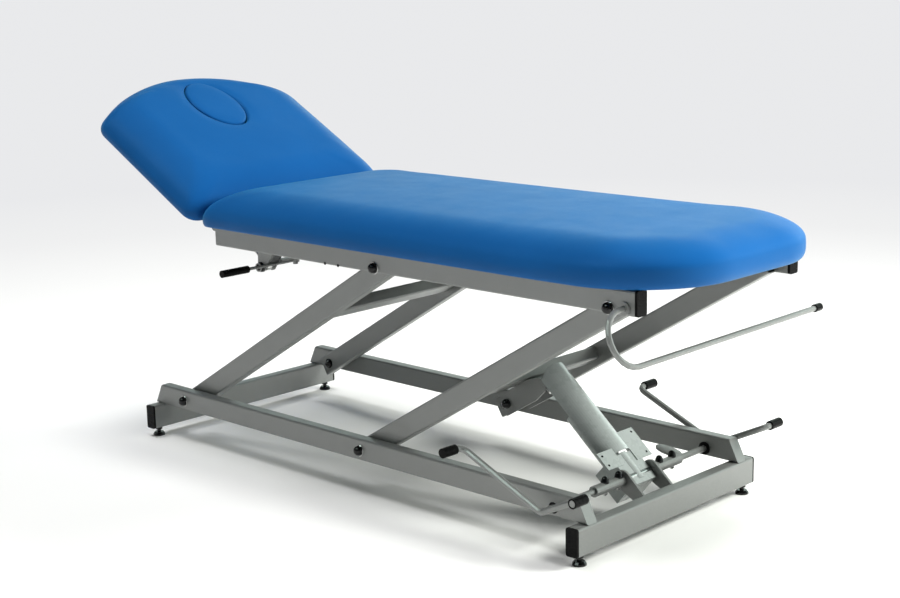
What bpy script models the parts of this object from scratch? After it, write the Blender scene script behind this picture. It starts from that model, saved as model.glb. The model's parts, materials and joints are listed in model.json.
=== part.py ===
"""Hydraulic massage table, two upholstered sections on a parallel-arm lifting frame.

Metres, +Z up, +X toward the foot end, -Y the patient's right.
The origin lies on the floor under the middle of the table.
Each moving body hangs on an empty that stands on its joint's axis.
"""
import math

import bmesh
import bpy
from mathutils import Matrix, Vector

# Fits
GAP = 0.0003                 # between pieces that touch
RUNNING = 0.0003             # round a pin or a shaft, on the radius
SEGMENTS = 16                # facets round a pin or a hole

# Steel tube
TUBE_HEIGHT = 0.050
TUBE_WIDTH = 0.030
TUBE_WALL = 0.002
TUBE_CORNER = 0.004

# Base
FOOT_HEIGHT = 0.022          # floor to the underside of the cross tubes
CROSS_HEIGHT = 0.060
BASE_WIDTH = 0.620
HEAD_CROSS_X = -0.713        # from the middle of the base
FOOT_CROSS_X = 0.6825
RAIL_SPAN = 0.554            # over the outer faces of the rails
RAIL_SLANT = 0.025           # how far a rail's end leans in, bottom to top
PLUG_FLANGE = 0.005
PLUG_SPIGOT = 0.010
FOOT_INSET = 0.0244          # levelling foot from the cross tube's end
FOOT_DISC = 0.030
FOOT_DISC_HEIGHT = 0.009
FOOT_NUT = 0.017
FOOT_STUD = 0.010
FOOT_STUD_LENGTH = 0.028     # above the cross tube's underside

# Lifting arms
LIFT_ANGLE = math.radians(30.88)
ARM_LENGTH = 0.832           # pivot to pivot
ARM_END = 0.027              # tube beyond each pivot
ARM_SIDE_GAP = 0.0018        # rail to arm, room for a washer
PIVOT_SPACING = 0.647        # head arms to foot arms
FOOT_PIVOT_X = 0.036
LOWER_PIVOT_RISE = 0.0232    # over the underside of the base rail
UPPER_PIVOT_RISE = 0.0105    # over the underside of the upper rail
BOLT = 0.012
BOLT_CAP = 0.023
BOLT_CAP_HEIGHT = 0.010
WASHER = 0.026
WASHER_THICK = 0.0012
HEAD_TUBE_ALONG = 0.544      # cross tube's place along the head arms
FOOT_TUBE_ALONG = 0.315      # cross tube's place along the foot arms
ARM_TUBE_LIFT = 0.005        # of both, over the arms' centre line

# Yoke under the foot arms' cross tube
YOKE_REAR = 0.240            # along the arm, from its lower pivot
YOKE_PIN_ALONG = 0.366
YOKE_HEIGHT = 0.050
YOKE_NOSE = 0.018           # radius of its front end, round the pin
YOKE_PLATE = 0.006
YOKE_INSIDE = 0.068          # between its two plates
YOKE_WEB = 0.004
THRUST_PIN = 0.016
TIE_BOLT = 0.010
TIE_BOLT_INSET = 0.015       # from the yoke's rear end
TIE_CAP = 0.020
TIE_CAP_HEIGHT = 0.008

# Pump and jack
SHAFT_X = 0.608
SHAFT_RISE = 0.0177          # over the underside of the base rail
SHAFT = 0.014
SHAFT_LENGTH = 0.196
BRACKET_PLATE = 0.006
BRACKET_EAR = 0.022          # radius round the shaft
BRACKET_INSIDE = 0.091
BRACKET_DROP = 0.036         # height against the cross tube
JACK_OFFSET = 0.0327         # ram's axis behind the shaft
PUMP_WIDTH = 0.084
PUMP_BELOW = 0.022           # block below the shaft, along the jack
PUMP_ABOVE = 0.055
PUMP_FRONT = 0.0055          # block's front face, from the shaft's axis
PUMP_BACK = 0.026            # block behind the ram's axis
PUMP_RIB = 0.036             # round front of the pump, between the wings
PUMP_RIB_AT = -0.0095
PUMP_RIB_BELOW = 0.012
PUMP_RIB_ABOVE = 0.058
CYLINDER = 0.046
CYLINDER_TOP = 0.195         # from the shaft, along the jack
RAM = 0.025
RAM_LENGTH = 0.198
RAM_FLOOR = 0.0215           # bottom of the bore, from the shaft
PAD = 0.036
PAD_THICK = 0.010
COVER_RADIUS = 0.047         # of the shell, round the ram's axis
COVER_SPAN = math.radians(68.0)   # shell to each side of the front
COVER_SHEET = 0.002
COVER_BOTTOM = 0.060
COVER_TOP = 0.306
COVER_SHOULDER = 0.016       # where the top edge starts to fall, from the middle
COVER_FALL = 0.034
WING_REACH = 0.075           # outer edges, from the middle
WING_ROOT = 0.024
WING_BOTTOM = 0.029
WING_TOP_RIGHT = 0.0735
WING_TOP_LEFT = 0.1045
WING_HOLE = 0.005
WING_HOLE_INSET = 0.010

# Pedals
BUSH = 0.024
BUSH_FLANGE = 0.029
BUSH_FLANGE_THICK = 0.0025
COUPLING = 0.024
COUPLING_LENGTH = 0.096
COUPLING_START = 0.0525      # from the middle of the table
SCREW_CAP = 0.013
SCREW_CAP_HEIGHT = 0.009
SCREW_SPACING = 0.046
SCREW_SHIFT = 0.013          # right coupling's screws, toward the pump
PEDAL_CLEAR = 0.024          # rocker rods, outside the rails
PEDAL_SHIFT = -0.014         # middle of the pedal set, from the table's
PEDAL_ROD = 0.014
PEDAL_BEND = 0.018
HEAD_PEDAL_REACH = 0.215
HEAD_PEDAL_RISE = 0.094
FOOT_PEDAL_REACH = 0.130
FOOT_PEDAL_RISE = 0.063
PEDAL_TOE = 0.059            # bent end, from the rocker's plane
GRIP = 0.021
GRIP_LENGTH = 0.039
GRIP_END = 0.003             # closed outer end of a grip

# Upper frame, from the foot arms' upper pivots
UPPER_FOOT_END = 0.0627
UPPER_HEAD_END = -1.197
UPPER_PLUG = 0.006
UPPER_FOOT_TUBE = -0.150
UPPER_HEAD_TUBE = -1.130
ROLL_ROD = 0.012
ROLL_X = 0.040
ROLL_RISE = 0.004             # where the holder leaves the rail, over the pivot
ROLL_STUB = 0.017
ROLL_BEND = 0.056
ROLL_LEAN = math.radians(24.5)
ROLL_END = 0.333
ROLL_RUN_RISE = 0.005         # of the straight run, toward its tip
ROLL_FLANGE = 0.026
ROLL_FLANGE_THICK = 0.004
ROLL_TIP = 0.017
ROLL_TIP_LENGTH = 0.022

# Body cushion
CUSHION_WIDTH = 0.640
BODY_FOOT_END = 0.163
BODY_HEAD_END = -1.2245
BODY_THICK = 0.0903
BODY_FOOT_RADIUS = 0.221
BODY_HEAD_RADIUS = 0.070
CUSHION_ROLL = 0.0675         # how far in the edge rolls over to the top
CUSHION_BELLY = 0.018         # height of the widest line
CUSHION_TUCK = 0.007          # underside drawn in
CUSHION_CROWN = 0.007

# Head section, from its hinge
HEAD_TILT = math.radians(28.8)
HINGE_X = -1.238
HINGE_RISE = 0.0384           # over the underside of the upper rail
HINGE_PIN = 0.010
HINGE_LUG = 0.006
HINGE_LUG_RADIUS = 0.011
HINGE_LUG_OVERLAP = 0.036
HEAD_GAP = 0.010              # hinge to the cushion's near end
HEAD_SIDE = 0.4085
HEAD_LENGTH = 0.5364
HEAD_THICK = 0.0884
HEAD_INNER_RADIUS = 0.070     # corners toward the body
HEAD_OUTER_RADIUS = 0.0783
HEAD_BAR_HEIGHT = 0.016
HEAD_BAR_WIDTH = 0.025
HEAD_BAR_OUT = 0.2355         # outer faces, from the middle
HEAD_BAR_LENGTH = 0.360
FACE_HOLE_AT = 0.370
FACE_HOLE_LONG = 0.195
FACE_HOLE_WIDE = 0.132
PLUG_CLEARANCE = 0.0008

# Gas strut and its release lever
STRUT_INSET = 0.132           # from the outer face of the near rail
STRUT_X = -1.169
STRUT_RISE = -0.0665          # over the underside of the upper rail
STRUT_PIN = 0.010
STRUT_EYE = 0.022
STRUT_EYE_WIDE = 0.014
STRUT_ROD = 0.008
STRUT_ROD_LENGTH = 0.150
STRUT_TUBE = 0.020
STRUT_TUBE_LENGTH = 0.105
STRUT_BORE = 0.100
STRUT_TAB = 0.018             # tube's end to the anchor pin
STRUT_TAB_THICK = 0.010
STRUT_SLOT_IN = 0.0038
STRUT_SLOT_OUT = 0.0039
STRUT_TAB_END = 0.0085        # radius of the tab round the slot
ANCHOR_DROP = 0.018           # anchor pin under the hinge's plane
ANCHOR_PIN = 0.008
ANCHOR_LUG = 0.005
ANCHOR_INSIDE = 0.014
HANGER_PLATE = 0.005
HANGER_INSIDE = 0.027
HANGER_TOP = 0.090            # width under the cross tube
HANGER_TOP_SHIFT = 0.039      # middle of its top, from the strut's pin
HANGER_END = 0.013
HANGER_CAP = 0.022
HANGER_CAP_HEIGHT = 0.010
LEVER_X = -1.140
LEVER_PIVOT_SHIFT = 0.067     # from the strut, toward the middle
LEVER_ROD = 0.008
LEVER_RISE = 0.0078           # lever's axis over the strut's pin
LEVER_EYE = 0.020
LEVER_PIN = 0.008
LEVER_REACH = 0.231
LEVER_GRIP = 0.018
LEVER_GRIP_LENGTH = 0.080

# Places that follow
RAIL_BOTTOM = FOOT_HEIGHT + CROSS_HEIGHT + GAP
RAIL_INSIDE = RAIL_SPAN / 2 - TUBE_WIDTH
RAIL_MIDDLE = RAIL_SPAN / 2 - TUBE_WIDTH / 2
PEDAL_PLANE = RAIL_SPAN / 2 + PEDAL_CLEAR
STRUT_Y = STRUT_INSET - RAIL_SPAN / 2
LEVER_PIVOT_Y = STRUT_Y + LEVER_PIVOT_SHIFT
ARM_OUTSIDE = RAIL_INSIDE - ARM_SIDE_GAP
ARM_INSIDE = ARM_OUTSIDE - TUBE_WIDTH
ARM_MIDDLE = ARM_OUTSIDE - TUBE_WIDTH / 2
LOWER_PIVOT_Z = RAIL_BOTTOM + LOWER_PIVOT_RISE
HEAD_PIVOT_X = FOOT_PIVOT_X - PIVOT_SPACING
UPPER_PIVOT_X = FOOT_PIVOT_X + ARM_LENGTH * math.cos(LIFT_ANGLE)
UPPER_PIVOT_Z = LOWER_PIVOT_Z + ARM_LENGTH * math.sin(LIFT_ANGLE)
SHAFT_Z = RAIL_BOTTOM + SHAFT_RISE
UPPER_BOTTOM = -UPPER_PIVOT_RISE
UPPER_TOP = UPPER_BOTTOM + TUBE_HEIGHT
CUSHION_BOTTOM = UPPER_TOP + GAP
HINGE_Z = UPPER_BOTTOM + HINGE_RISE
STRUT_Z = UPPER_BOTTOM + STRUT_RISE
YOKE_TOP = ARM_TUBE_LIFT - TUBE_WIDTH / 2 - GAP
YOKE_PIN_Z = YOKE_TOP - YOKE_HEIGHT / 2
HEAD_BOTTOM = CUSHION_BOTTOM - HINGE_Z
HEAD_REACH = HEAD_GAP + HEAD_LENGTH
FOOT_TIP_X = UPPER_PIVOT_X + BODY_FOOT_END
HEAD_TIP_X = (UPPER_PIVOT_X + HINGE_X - (HEAD_REACH - CUSHION_TUCK / 3) * math.cos(HEAD_TILT)
              + (HEAD_BOTTOM + CUSHION_BELLY / 3) * math.sin(HEAD_TILT))
ORIGIN_X = (FOOT_TIP_X + HEAD_TIP_X) / 2
ORIGIN_Y = PEDAL_SHIFT

SIDES = (("right", -1), ("left", 1))
ENDS = (("head", HEAD_PIVOT_X, HEAD_CROSS_X), ("foot", FOOT_PIVOT_X, FOOT_CROSS_X))


def clear_scene():
    for item in list(bpy.data.objects):
        bpy.data.objects.remove(item, do_unlink=True)


clear_scene()
PARTS = bpy.data.collections.new("hydraulic_massage_table")
CUTTERS = bpy.data.collections.new("cutters")
bpy.context.scene.collection.children.link(PARTS)
bpy.context.scene.collection.children.link(CUTTERS)


def material(name, colour, roughness, metallic=0.0):
    made = bpy.data.materials.new(name)
    made.use_nodes = True
    shader = made.node_tree.nodes["Principled BSDF"]
    shader.inputs["Base Color"].default_value = (*colour, 1.0)
    shader.inputs["Roughness"].default_value = roughness
    shader.inputs["Metallic"].default_value = metallic
    made.diffuse_color = (*colour, 1.0)
    return made


SILVER = material("silver_powder_coat", (0.26, 0.27, 0.27), 0.42, 0.35)
COVER_GREY = material("jack_gloss_grey", (0.40, 0.44, 0.43), 0.22, 0.1)
BLACK = material("black_plastic", (0.012, 0.012, 0.013), 0.3)
CHROME = material("polished_steel", (0.6, 0.6, 0.6), 0.15, 1.0)
BLUE = material("blue_vinyl", (0.021, 0.125, 0.39), 0.45)


def empty(name, location, turn=0.0, parent=None):
    """A body's frame, turned about Y."""
    made = bpy.data.objects.new(name, None)
    made.location = location
    made.rotation_euler = (0.0, turn, 0.0)
    made.parent = parent
    made.empty_display_size = 0.05
    PARTS.objects.link(made)
    return made


def add(name, mesh, parent, finish=None, smooth=True):
    """A node when it has a finish, otherwise a cutter or a piece to be fused."""
    made = bpy.data.objects.new(name, mesh)
    made.parent = parent
    if finish is None:
        CUTTERS.objects.link(made)
        made.hide_render = True
        made.display_type = "WIRE"
    else:
        PARTS.objects.link(made)
        mesh.materials.append(finish)
    if smooth:
        mesh.shade_smooth()
        mesh.set_sharp_from_angle(angle=math.radians(35.0))
    return made


def to_mesh(name, form):
    mesh = bpy.data.meshes.new(name)
    bmesh.ops.recalc_face_normals(form, faces=form.faces)
    if form.calc_volume(signed=True) < 0.0:
        bmesh.ops.reverse_faces(form, faces=form.faces)
    form.to_mesh(mesh)
    form.free()
    return mesh


def box(name, low, high, parent, finish=None):
    """A block between two corners."""
    form = bmesh.new()
    bmesh.ops.create_cube(form, size=1.0)
    low, high = Vector(low), Vector(high)
    size = high - low
    bmesh.ops.scale(form, vec=size, verts=form.verts)
    bmesh.ops.translate(form, vec=(low + high) / 2, verts=form.verts)
    return add(name, to_mesh(name, form), parent, finish, smooth=False)


def rod(name, diameter, start, end, parent, finish=None, segments=SEGMENTS):
    """A round bar between two points."""
    start, end = Vector(start), Vector(end)
    run = end - start
    form = bmesh.new()
    bmesh.ops.create_cone(form, cap_ends=True, segments=segments, depth=run.length,
                          radius1=diameter / 2, radius2=diameter / 2)
    turn = Vector((0, 0, 1)).rotation_difference(run).to_matrix().to_4x4()
    bmesh.ops.transform(form, matrix=Matrix.Translation((start + end) / 2) @ turn, verts=form.verts)
    return add(name, to_mesh(name, form), parent, finish)


def arc(centre, radius, start, stop, steps):
    """Points on a circle, angles in radians, both ends included."""
    for index in range(steps + 1):
        angle = start + (stop - start) * index / steps
        yield (centre[0] + radius * math.cos(angle), centre[1] + radius * math.sin(angle))


def rounded_rectangle(width, height, radius, steps=2):
    points = []
    for quarter, (sx, sy) in enumerate(((1, 1), (-1, 1), (-1, -1), (1, -1))):
        centre = (sx * (width / 2 - radius), sy * (height / 2 - radius))
        points += arc(centre, radius, quarter * math.pi / 2, (quarter + 1) * math.pi / 2, steps)
    return points


def plate(name, outlines, low, high, axes, parent, finish=None):
    """Flat outlines, the later ones holes, filled and extruded along the axis left over."""
    curve = bpy.data.curves.new(name, "CURVE")
    curve.dimensions = "2D"
    curve.fill_mode = "BOTH"
    curve.extrude = (high - low) / 2
    for outline in outlines:
        spline = curve.splines.new("POLY")
        spline.points.add(len(outline) - 1)
        spline.use_cyclic_u = True
        for point, (x, y) in zip(spline.points, outline):
            point.co = (x, y, 0.0, 1.0)
    holder = bpy.data.objects.new(name, curve)
    CUTTERS.objects.link(holder)
    bpy.context.view_layer.update()
    mesh = bpy.data.meshes.new_from_object(holder.evaluated_get(bpy.context.evaluated_depsgraph_get()))
    bpy.data.objects.remove(holder, do_unlink=True)
    form = bmesh.new()
    form.from_mesh(mesh)
    bpy.data.meshes.remove(mesh)
    bmesh.ops.remove_doubles(form, verts=form.verts, dist=1e-6)
    middle = (low + high) / 2
    for vert in form.verts:
        first, second, depth = vert.co.x, vert.co.y, vert.co.z + middle
        vert.co = {"xy": (first, second, depth), "xz": (first, depth, second),
                   "yz": (depth, first, second), "yx": (second, first, depth)}[axes]
    return add(name, to_mesh(name, form), parent, finish)


def tube(name, size, low, high, axis, centre, parent, finish=None, wall=TUBE_WALL):
    """A hollow rectangular tube, open at both ends, running along one axis."""
    axes = {"x": "yz", "y": "xz"}[axis]
    outer = [(a + centre[0], b + centre[1]) for a, b in rounded_rectangle(*size, TUBE_CORNER)]
    inner_size = (size[0] - 2 * wall, size[1] - 2 * wall)
    inner = [(a + centre[0], b + centre[1])
             for a, b in rounded_rectangle(*inner_size, TUBE_CORNER - wall, 1)]
    return plate(name, (outer, inner), low, high, axes, parent, finish)


def path_tube(name, diameter, points, parent, finish=None, sides=10):
    """A round rod along a line of points, as a closed mesh."""
    curve = bpy.data.curves.new(name, "CURVE")
    curve.dimensions = "3D"
    curve.bevel_depth = diameter / 2
    curve.bevel_resolution = sides // 2 - 2
    curve.use_fill_caps = True
    spline = curve.splines.new("POLY")
    spline.points.add(len(points) - 1)
    for point, place in zip(spline.points, points):
        point.co = (*place, 1.0)
    holder = bpy.data.objects.new(name, curve)
    CUTTERS.objects.link(holder)
    bpy.context.view_layer.update()
    mesh = bpy.data.meshes.new_from_object(holder.evaluated_get(bpy.context.evaluated_depsgraph_get()))
    bpy.data.objects.remove(holder, do_unlink=True)
    form = bmesh.new()
    form.from_mesh(mesh)
    bpy.data.meshes.remove(mesh)
    bmesh.ops.remove_doubles(form, verts=form.verts, dist=1e-6)
    return add(name, to_mesh(name, form), parent, finish)


def bent(corners, radius, steps=4):
    """A line through corners, each rounded by an arc that touches both runs."""
    corners = [Vector(corner) for corner in corners]
    points = [corners[0]]
    for before, corner, after in zip(corners, corners[1:], corners[2:]):
        inward = (before - corner).normalized()
        outward = (after - corner).normalized()
        half = inward.angle(outward) / 2
        bisector = (inward + outward).normalized()
        centre = corner + bisector * radius / math.sin(half)
        start = corner + inward * radius / math.tan(half) - centre
        stop = corner + outward * radius / math.tan(half) - centre
        for index in range(steps + 1):
            points.append(centre + start.normalized().slerp(stop.normalized(), index / steps) * radius)
    return points + [corners[-1]]


def turned(name, profile, location, turn, parent, finish=None, steps=SEGMENTS, closed=False):
    """A profile of (radius, height), top to bottom, turned about its own Z."""
    mesh = bpy.data.meshes.new(name)
    edges = [(index, index + 1) for index in range(len(profile) - 1)]
    if closed:
        edges.append((len(profile) - 1, 0))
    mesh.from_pydata([(radius, 0.0, height) for radius, height in profile], edges, [])
    made = add(name, mesh, parent, finish, smooth=False)
    made.location = location
    made.rotation_euler = turn
    screw = made.modifiers.new("turn", "SCREW")
    screw.steps = steps
    screw.render_steps = steps
    screw.use_merge_vertices = True
    screw.merge_threshold = 1e-5
    screw.use_smooth_shade = True
    return made


def boolean(target, other, operation):
    change = target.modifiers.new(operation.lower() + "_" + other.name, "BOOLEAN")
    change.operation = operation
    change.object = other
    change.solver = "EXACT"
    return target


def cut(target, *cutters):
    for cutter in cutters:
        boolean(target, cutter, "DIFFERENCE")
    return target


def fuse(target, *pieces):
    for piece in pieces:
        boolean(target, piece, "UNION")
    return target


def hole_y(name, diameter, x, z, low, high, parent):
    """A cutter for a round hole along Y."""
    return rod(name, diameter + 2 * RUNNING, (x, low, z), (x, high, z), parent)


def dome(radius, height, steps=3):
    """A cap's profile from its top, on the axis, down to its rim."""
    return [(radius * math.sin(angle), height * math.cos(angle))
            for angle in (math.pi / 2 * index / steps for index in range(steps + 1))]


# Frames of the bodies
ROOT = empty("table", (-ORIGIN_X, -ORIGIN_Y, 0.0))
BASE = empty("base", (0.0, 0.0, 0.0), parent=ROOT)
HEAD_ARMS = empty("head_arms", (HEAD_PIVOT_X, 0.0, LOWER_PIVOT_Z), -LIFT_ANGLE, ROOT)
FOOT_ARMS = empty("foot_arms", (FOOT_PIVOT_X, 0.0, LOWER_PIVOT_Z), -LIFT_ANGLE, ROOT)
UPPER = empty("upper_frame", (UPPER_PIVOT_X, 0.0, UPPER_PIVOT_Z), parent=ROOT)
HEAD = empty("head_section", (HINGE_X, 0.0, HINGE_Z), HEAD_TILT, UPPER)

PIN_X = (FOOT_PIVOT_X + YOKE_PIN_ALONG * math.cos(LIFT_ANGLE) - YOKE_PIN_Z * math.sin(LIFT_ANGLE))
PIN_Z = (LOWER_PIVOT_Z + YOKE_PIN_ALONG * math.sin(LIFT_ANGLE) + YOKE_PIN_Z * math.cos(LIFT_ANGLE))
PIN_REACH = math.hypot(PIN_X - SHAFT_X, PIN_Z - SHAFT_Z)
JACK_LENGTH = math.sqrt(PIN_REACH ** 2 - JACK_OFFSET ** 2)
JACK_TURN = math.atan2(PIN_X - SHAFT_X, PIN_Z - SHAFT_Z) + math.asin(JACK_OFFSET / PIN_REACH)
JACK = empty("jack", (SHAFT_X, 0.0, SHAFT_Z), JACK_TURN, ROOT)
PEDALS = empty("pedals", (SHAFT_X, 0.0, SHAFT_Z), parent=ROOT)

# The strut's two pins lie equally far from the hinge
STRUT_RADIUS = math.hypot(STRUT_X - HINGE_X, STRUT_Z - HINGE_Z)
ANCHOR_ALONG = math.sqrt(STRUT_RADIUS ** 2 - ANCHOR_DROP ** 2)
ANCHOR_X = HINGE_X - ANCHOR_ALONG * math.cos(HEAD_TILT) - ANCHOR_DROP * math.sin(HEAD_TILT)
ANCHOR_Z = HINGE_Z + ANCHOR_ALONG * math.sin(HEAD_TILT) - ANCHOR_DROP * math.cos(HEAD_TILT)
STRUT_LENGTH = math.hypot(ANCHOR_X - STRUT_X, ANCHOR_Z - STRUT_Z)
STRUT_TURN = math.atan2(ANCHOR_X - STRUT_X, ANCHOR_Z - STRUT_Z)
STRUT = empty("strut", (STRUT_X, STRUT_Y, STRUT_Z), STRUT_TURN, UPPER)
LEVER = empty("release", (LEVER_X, LEVER_PIVOT_Y, STRUT_Z + LEVER_RISE), parent=UPPER)


def end_plug(name, size, face, side, axis, centre, parent, flange):
    """A moulded plug: a flange on the tube's end and a spigot inside it."""
    axes = {"x": "yz", "y": "xz"}[axis]
    outline = [(a + centre[0], b + centre[1]) for a, b in rounded_rectangle(*size, TUBE_CORNER)]
    shrink = 2 * (TUBE_WALL + GAP)
    inside = rounded_rectangle(size[0] - shrink, size[1] - shrink, TUBE_CORNER - TUBE_WALL, 1)
    inside = [(a + centre[0], b + centre[1]) for a, b in inside]
    near, far = sorted((face + side * GAP, face + side * (GAP + flange)))
    made = plate(name, (outline,), near, far, axes, parent, BLACK)
    near, far = sorted((face + side * (GAP + flange / 2), face - side * PLUG_SPIGOT))
    return fuse(made, plate(name + "_spigot", (inside,), near, far, axes, parent))


def pivot_bolt(name, x, z, side, parent):
    """A pivot through a rail and an arm, with a domed cap at each end."""
    shank = BOLT / 2
    cap = BOLT_CAP / 2
    rim = WASHER / 2
    outside = RAIL_SPAN / 2 + GAP
    inside = ARM_INSIDE - GAP
    washer_out = RAIL_INSIDE - GAP
    profile = [(r, outside + WASHER_THICK + h) for r, h in dome(cap, BOLT_CAP_HEIGHT)]
    profile += [(rim, outside + WASHER_THICK), (rim, outside), (shank, outside),
                (shank, washer_out), (rim, washer_out), (rim, washer_out - WASHER_THICK),
                (shank, washer_out - WASHER_THICK), (shank, inside), (rim, inside),
                (rim, inside - WASHER_THICK)]
    profile += [(r, inside - WASHER_THICK - h) for r, h in reversed(dome(cap, BOLT_CAP_HEIGHT))]
    turn = (-side * math.pi / 2, 0.0, 0.0)
    return turned(name, profile, (x, 0.0, z), turn, parent, BLACK, steps=12)


def base_frame():
    """Cross tubes, rails, end plugs, levelling feet and lower pivots."""
    cross_end = BASE_WIDTH / 2 - PLUG_FLANGE - GAP
    cross_middle = FOOT_HEIGHT + CROSS_HEIGHT / 2
    cross_size = (TUBE_WIDTH, CROSS_HEIGHT)
    foot_y = BASE_WIDTH / 2 - FOOT_INSET
    for end, pivot_x, cross_x in ENDS:
        name = "base_cross_tube_" + end
        cross = tube(name, cross_size, -cross_end, cross_end, "y", (cross_x, cross_middle), BASE, SILVER)
        for side_name, side in SIDES:
            place = end + "_" + side_name
            end_plug("base_end_plug_" + place, cross_size, side * cross_end, side, "y",
                     (cross_x, cross_middle), BASE, PLUG_FLANGE)
            y = side * foot_y
            low = (cross_x, y, FOOT_HEIGHT - FOOT_DISC_HEIGHT)
            high = (cross_x, y, FOOT_HEIGHT + CROSS_HEIGHT / 2)
            cut(cross, rod("stud_hole_" + place, FOOT_STUD + 2 * RUNNING, low, high, BASE))
            levelling_foot("levelling_foot_" + place, cross_x, y)
            pivot_bolt("pivot_bolt_lower_" + place, pivot_x, LOWER_PIVOT_Z, side, BASE)
    for side_name, side in SIDES:
        base_rail(side_name, side)


def levelling_foot(name, x, y):
    disc = FOOT_DISC / 2
    nut = FOOT_NUT / 2
    stud = FOOT_STUD / 2
    top = FOOT_HEIGHT - GAP
    waist = FOOT_DISC_HEIGHT
    profile = [(0.0, FOOT_HEIGHT + FOOT_STUD_LENGTH), (stud, FOOT_HEIGHT + FOOT_STUD_LENGTH),
               (stud, top), (nut, top), (nut, (top + waist) / 2), (stud, (top + waist) / 2),
               (stud, waist), (disc * 0.75, waist), (disc, waist * 0.45), (disc, 0.0), (0.0, 0.0)]
    return turned(name, profile, (x, y, 0.0), (0.0, 0.0, 0.0), BASE, BLACK, steps=12)


def base_rail(side_name, side):
    """A rail with leaning plated ends, bored for the pivots and the pedal bush."""
    name = "base_rail_" + side_name
    low_x = HEAD_CROSS_X - TUBE_WIDTH / 2
    high_x = FOOT_CROSS_X + TUBE_WIDTH / 2
    middle_z = RAIL_BOTTOM + TUBE_HEIGHT / 2
    centre = (side * RAIL_MIDDLE, middle_z)
    outline = [(a + centre[0], b + centre[1])
               for a, b in rounded_rectangle(TUBE_WIDTH, TUBE_HEIGHT, TUBE_CORNER)]
    rail = plate(name, (outline,), low_x, high_x, "yz", BASE, SILVER)
    hollow = box(name + "_hollow",
                 (low_x + TUBE_WALL, centre[0] - TUBE_WIDTH / 2 + TUBE_WALL, RAIL_BOTTOM + TUBE_WALL),
                 (high_x - TUBE_WALL, centre[0] + TUBE_WIDTH / 2 - TUBE_WALL,
                  RAIL_BOTTOM + TUBE_HEIGHT - TUBE_WALL), BASE)
    for piece in (rail, hollow):
        for vert in piece.data.vertices:
            lean = RAIL_SLANT * (vert.co.z - RAIL_BOTTOM) / TUBE_HEIGHT
            vert.co.x += lean if vert.co.x < 0 else -lean
    cut(rail, hollow)
    outer = side * (RAIL_SPAN / 2 + TUBE_WIDTH)
    inner = side * (RAIL_INSIDE - TUBE_WIDTH)
    for x in (HEAD_PIVOT_X, FOOT_PIVOT_X):
        cut(rail, hole_y(name + "_pivot_hole", BOLT, x, LOWER_PIVOT_Z, inner, outer, BASE))
    cut(rail, hole_y(name + "_bush_hole", BUSH, SHAFT_X, SHAFT_Z, inner, outer, BASE))
    bush = turned("shaft_bush_" + side_name,
                  [(SHAFT / 2 + RUNNING, TUBE_WIDTH), (BUSH / 2, TUBE_WIDTH), (BUSH / 2, -GAP),
                   (BUSH_FLANGE / 2, -GAP), (BUSH_FLANGE / 2, -GAP - BUSH_FLANGE_THICK),
                   (SHAFT / 2 + RUNNING, -GAP - BUSH_FLANGE_THICK)],
                  (SHAFT_X, side * RAIL_INSIDE, SHAFT_Z), (-side * math.pi / 2, 0.0, 0.0), BASE, BLACK,
                  closed=True)
    return rail, bush


def jack_bracket():
    """Two ears on the foot cross tube's rear face that carry the pump's shaft."""
    face = FOOT_CROSS_X - TUBE_WIDTH / 2 - GAP
    high_z = FOOT_HEIGHT + CROSS_HEIGHT - TUBE_CORNER
    low_z = high_z - BRACKET_DROP
    outside = BRACKET_INSIDE / 2 + BRACKET_PLATE
    made = box("jack_bracket", (face - BRACKET_PLATE, -outside, low_z), (face, outside, high_z), BASE, SILVER)
    root = face - BRACKET_PLATE / 2
    reach = Vector((root - SHAFT_X, high_z - GAP - SHAFT_Z))
    start = math.atan2(reach.y, reach.x) + math.acos(BRACKET_EAR / reach.length)
    outline = list(arc((SHAFT_X, SHAFT_Z), BRACKET_EAR, start, 1.45 * math.pi, 12))
    outline += [(root, low_z + BRACKET_PLATE), (root, high_z - GAP)]
    for side_name, side in SIDES:
        low, high = sorted((side * BRACKET_INSIDE / 2, side * outside))
        fuse(made, plate("bracket_ear_" + side_name, (outline,), low, high, "xz", BASE))
    return cut(made, hole_y("bracket_bore", SHAFT, SHAFT_X, SHAFT_Z, -2 * outside, 2 * outside, BASE))


def arm_pair(end, frame, tube_along):
    """Two parallel arms and the tube that joins them."""
    for side_name, side in SIDES:
        arm = tube(end + "_arm_" + side_name, (TUBE_WIDTH, TUBE_HEIGHT), -ARM_END, ARM_LENGTH + ARM_END,
                   "x", (side * ARM_MIDDLE, 0.0), frame, SILVER)
        for x in (0.0, ARM_LENGTH):
            cut(arm, hole_y(end + "_arm_bore", BOLT, x, 0.0, side * (ARM_INSIDE - TUBE_WIDTH),
                            side * (ARM_OUTSIDE + TUBE_WIDTH), frame))
    reach = ARM_INSIDE - GAP
    tube(end + "_arm_cross_tube", (TUBE_HEIGHT, TUBE_WIDTH), -reach, reach, "y",
         (tube_along, ARM_TUBE_LIFT), frame, SILVER)


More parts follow.
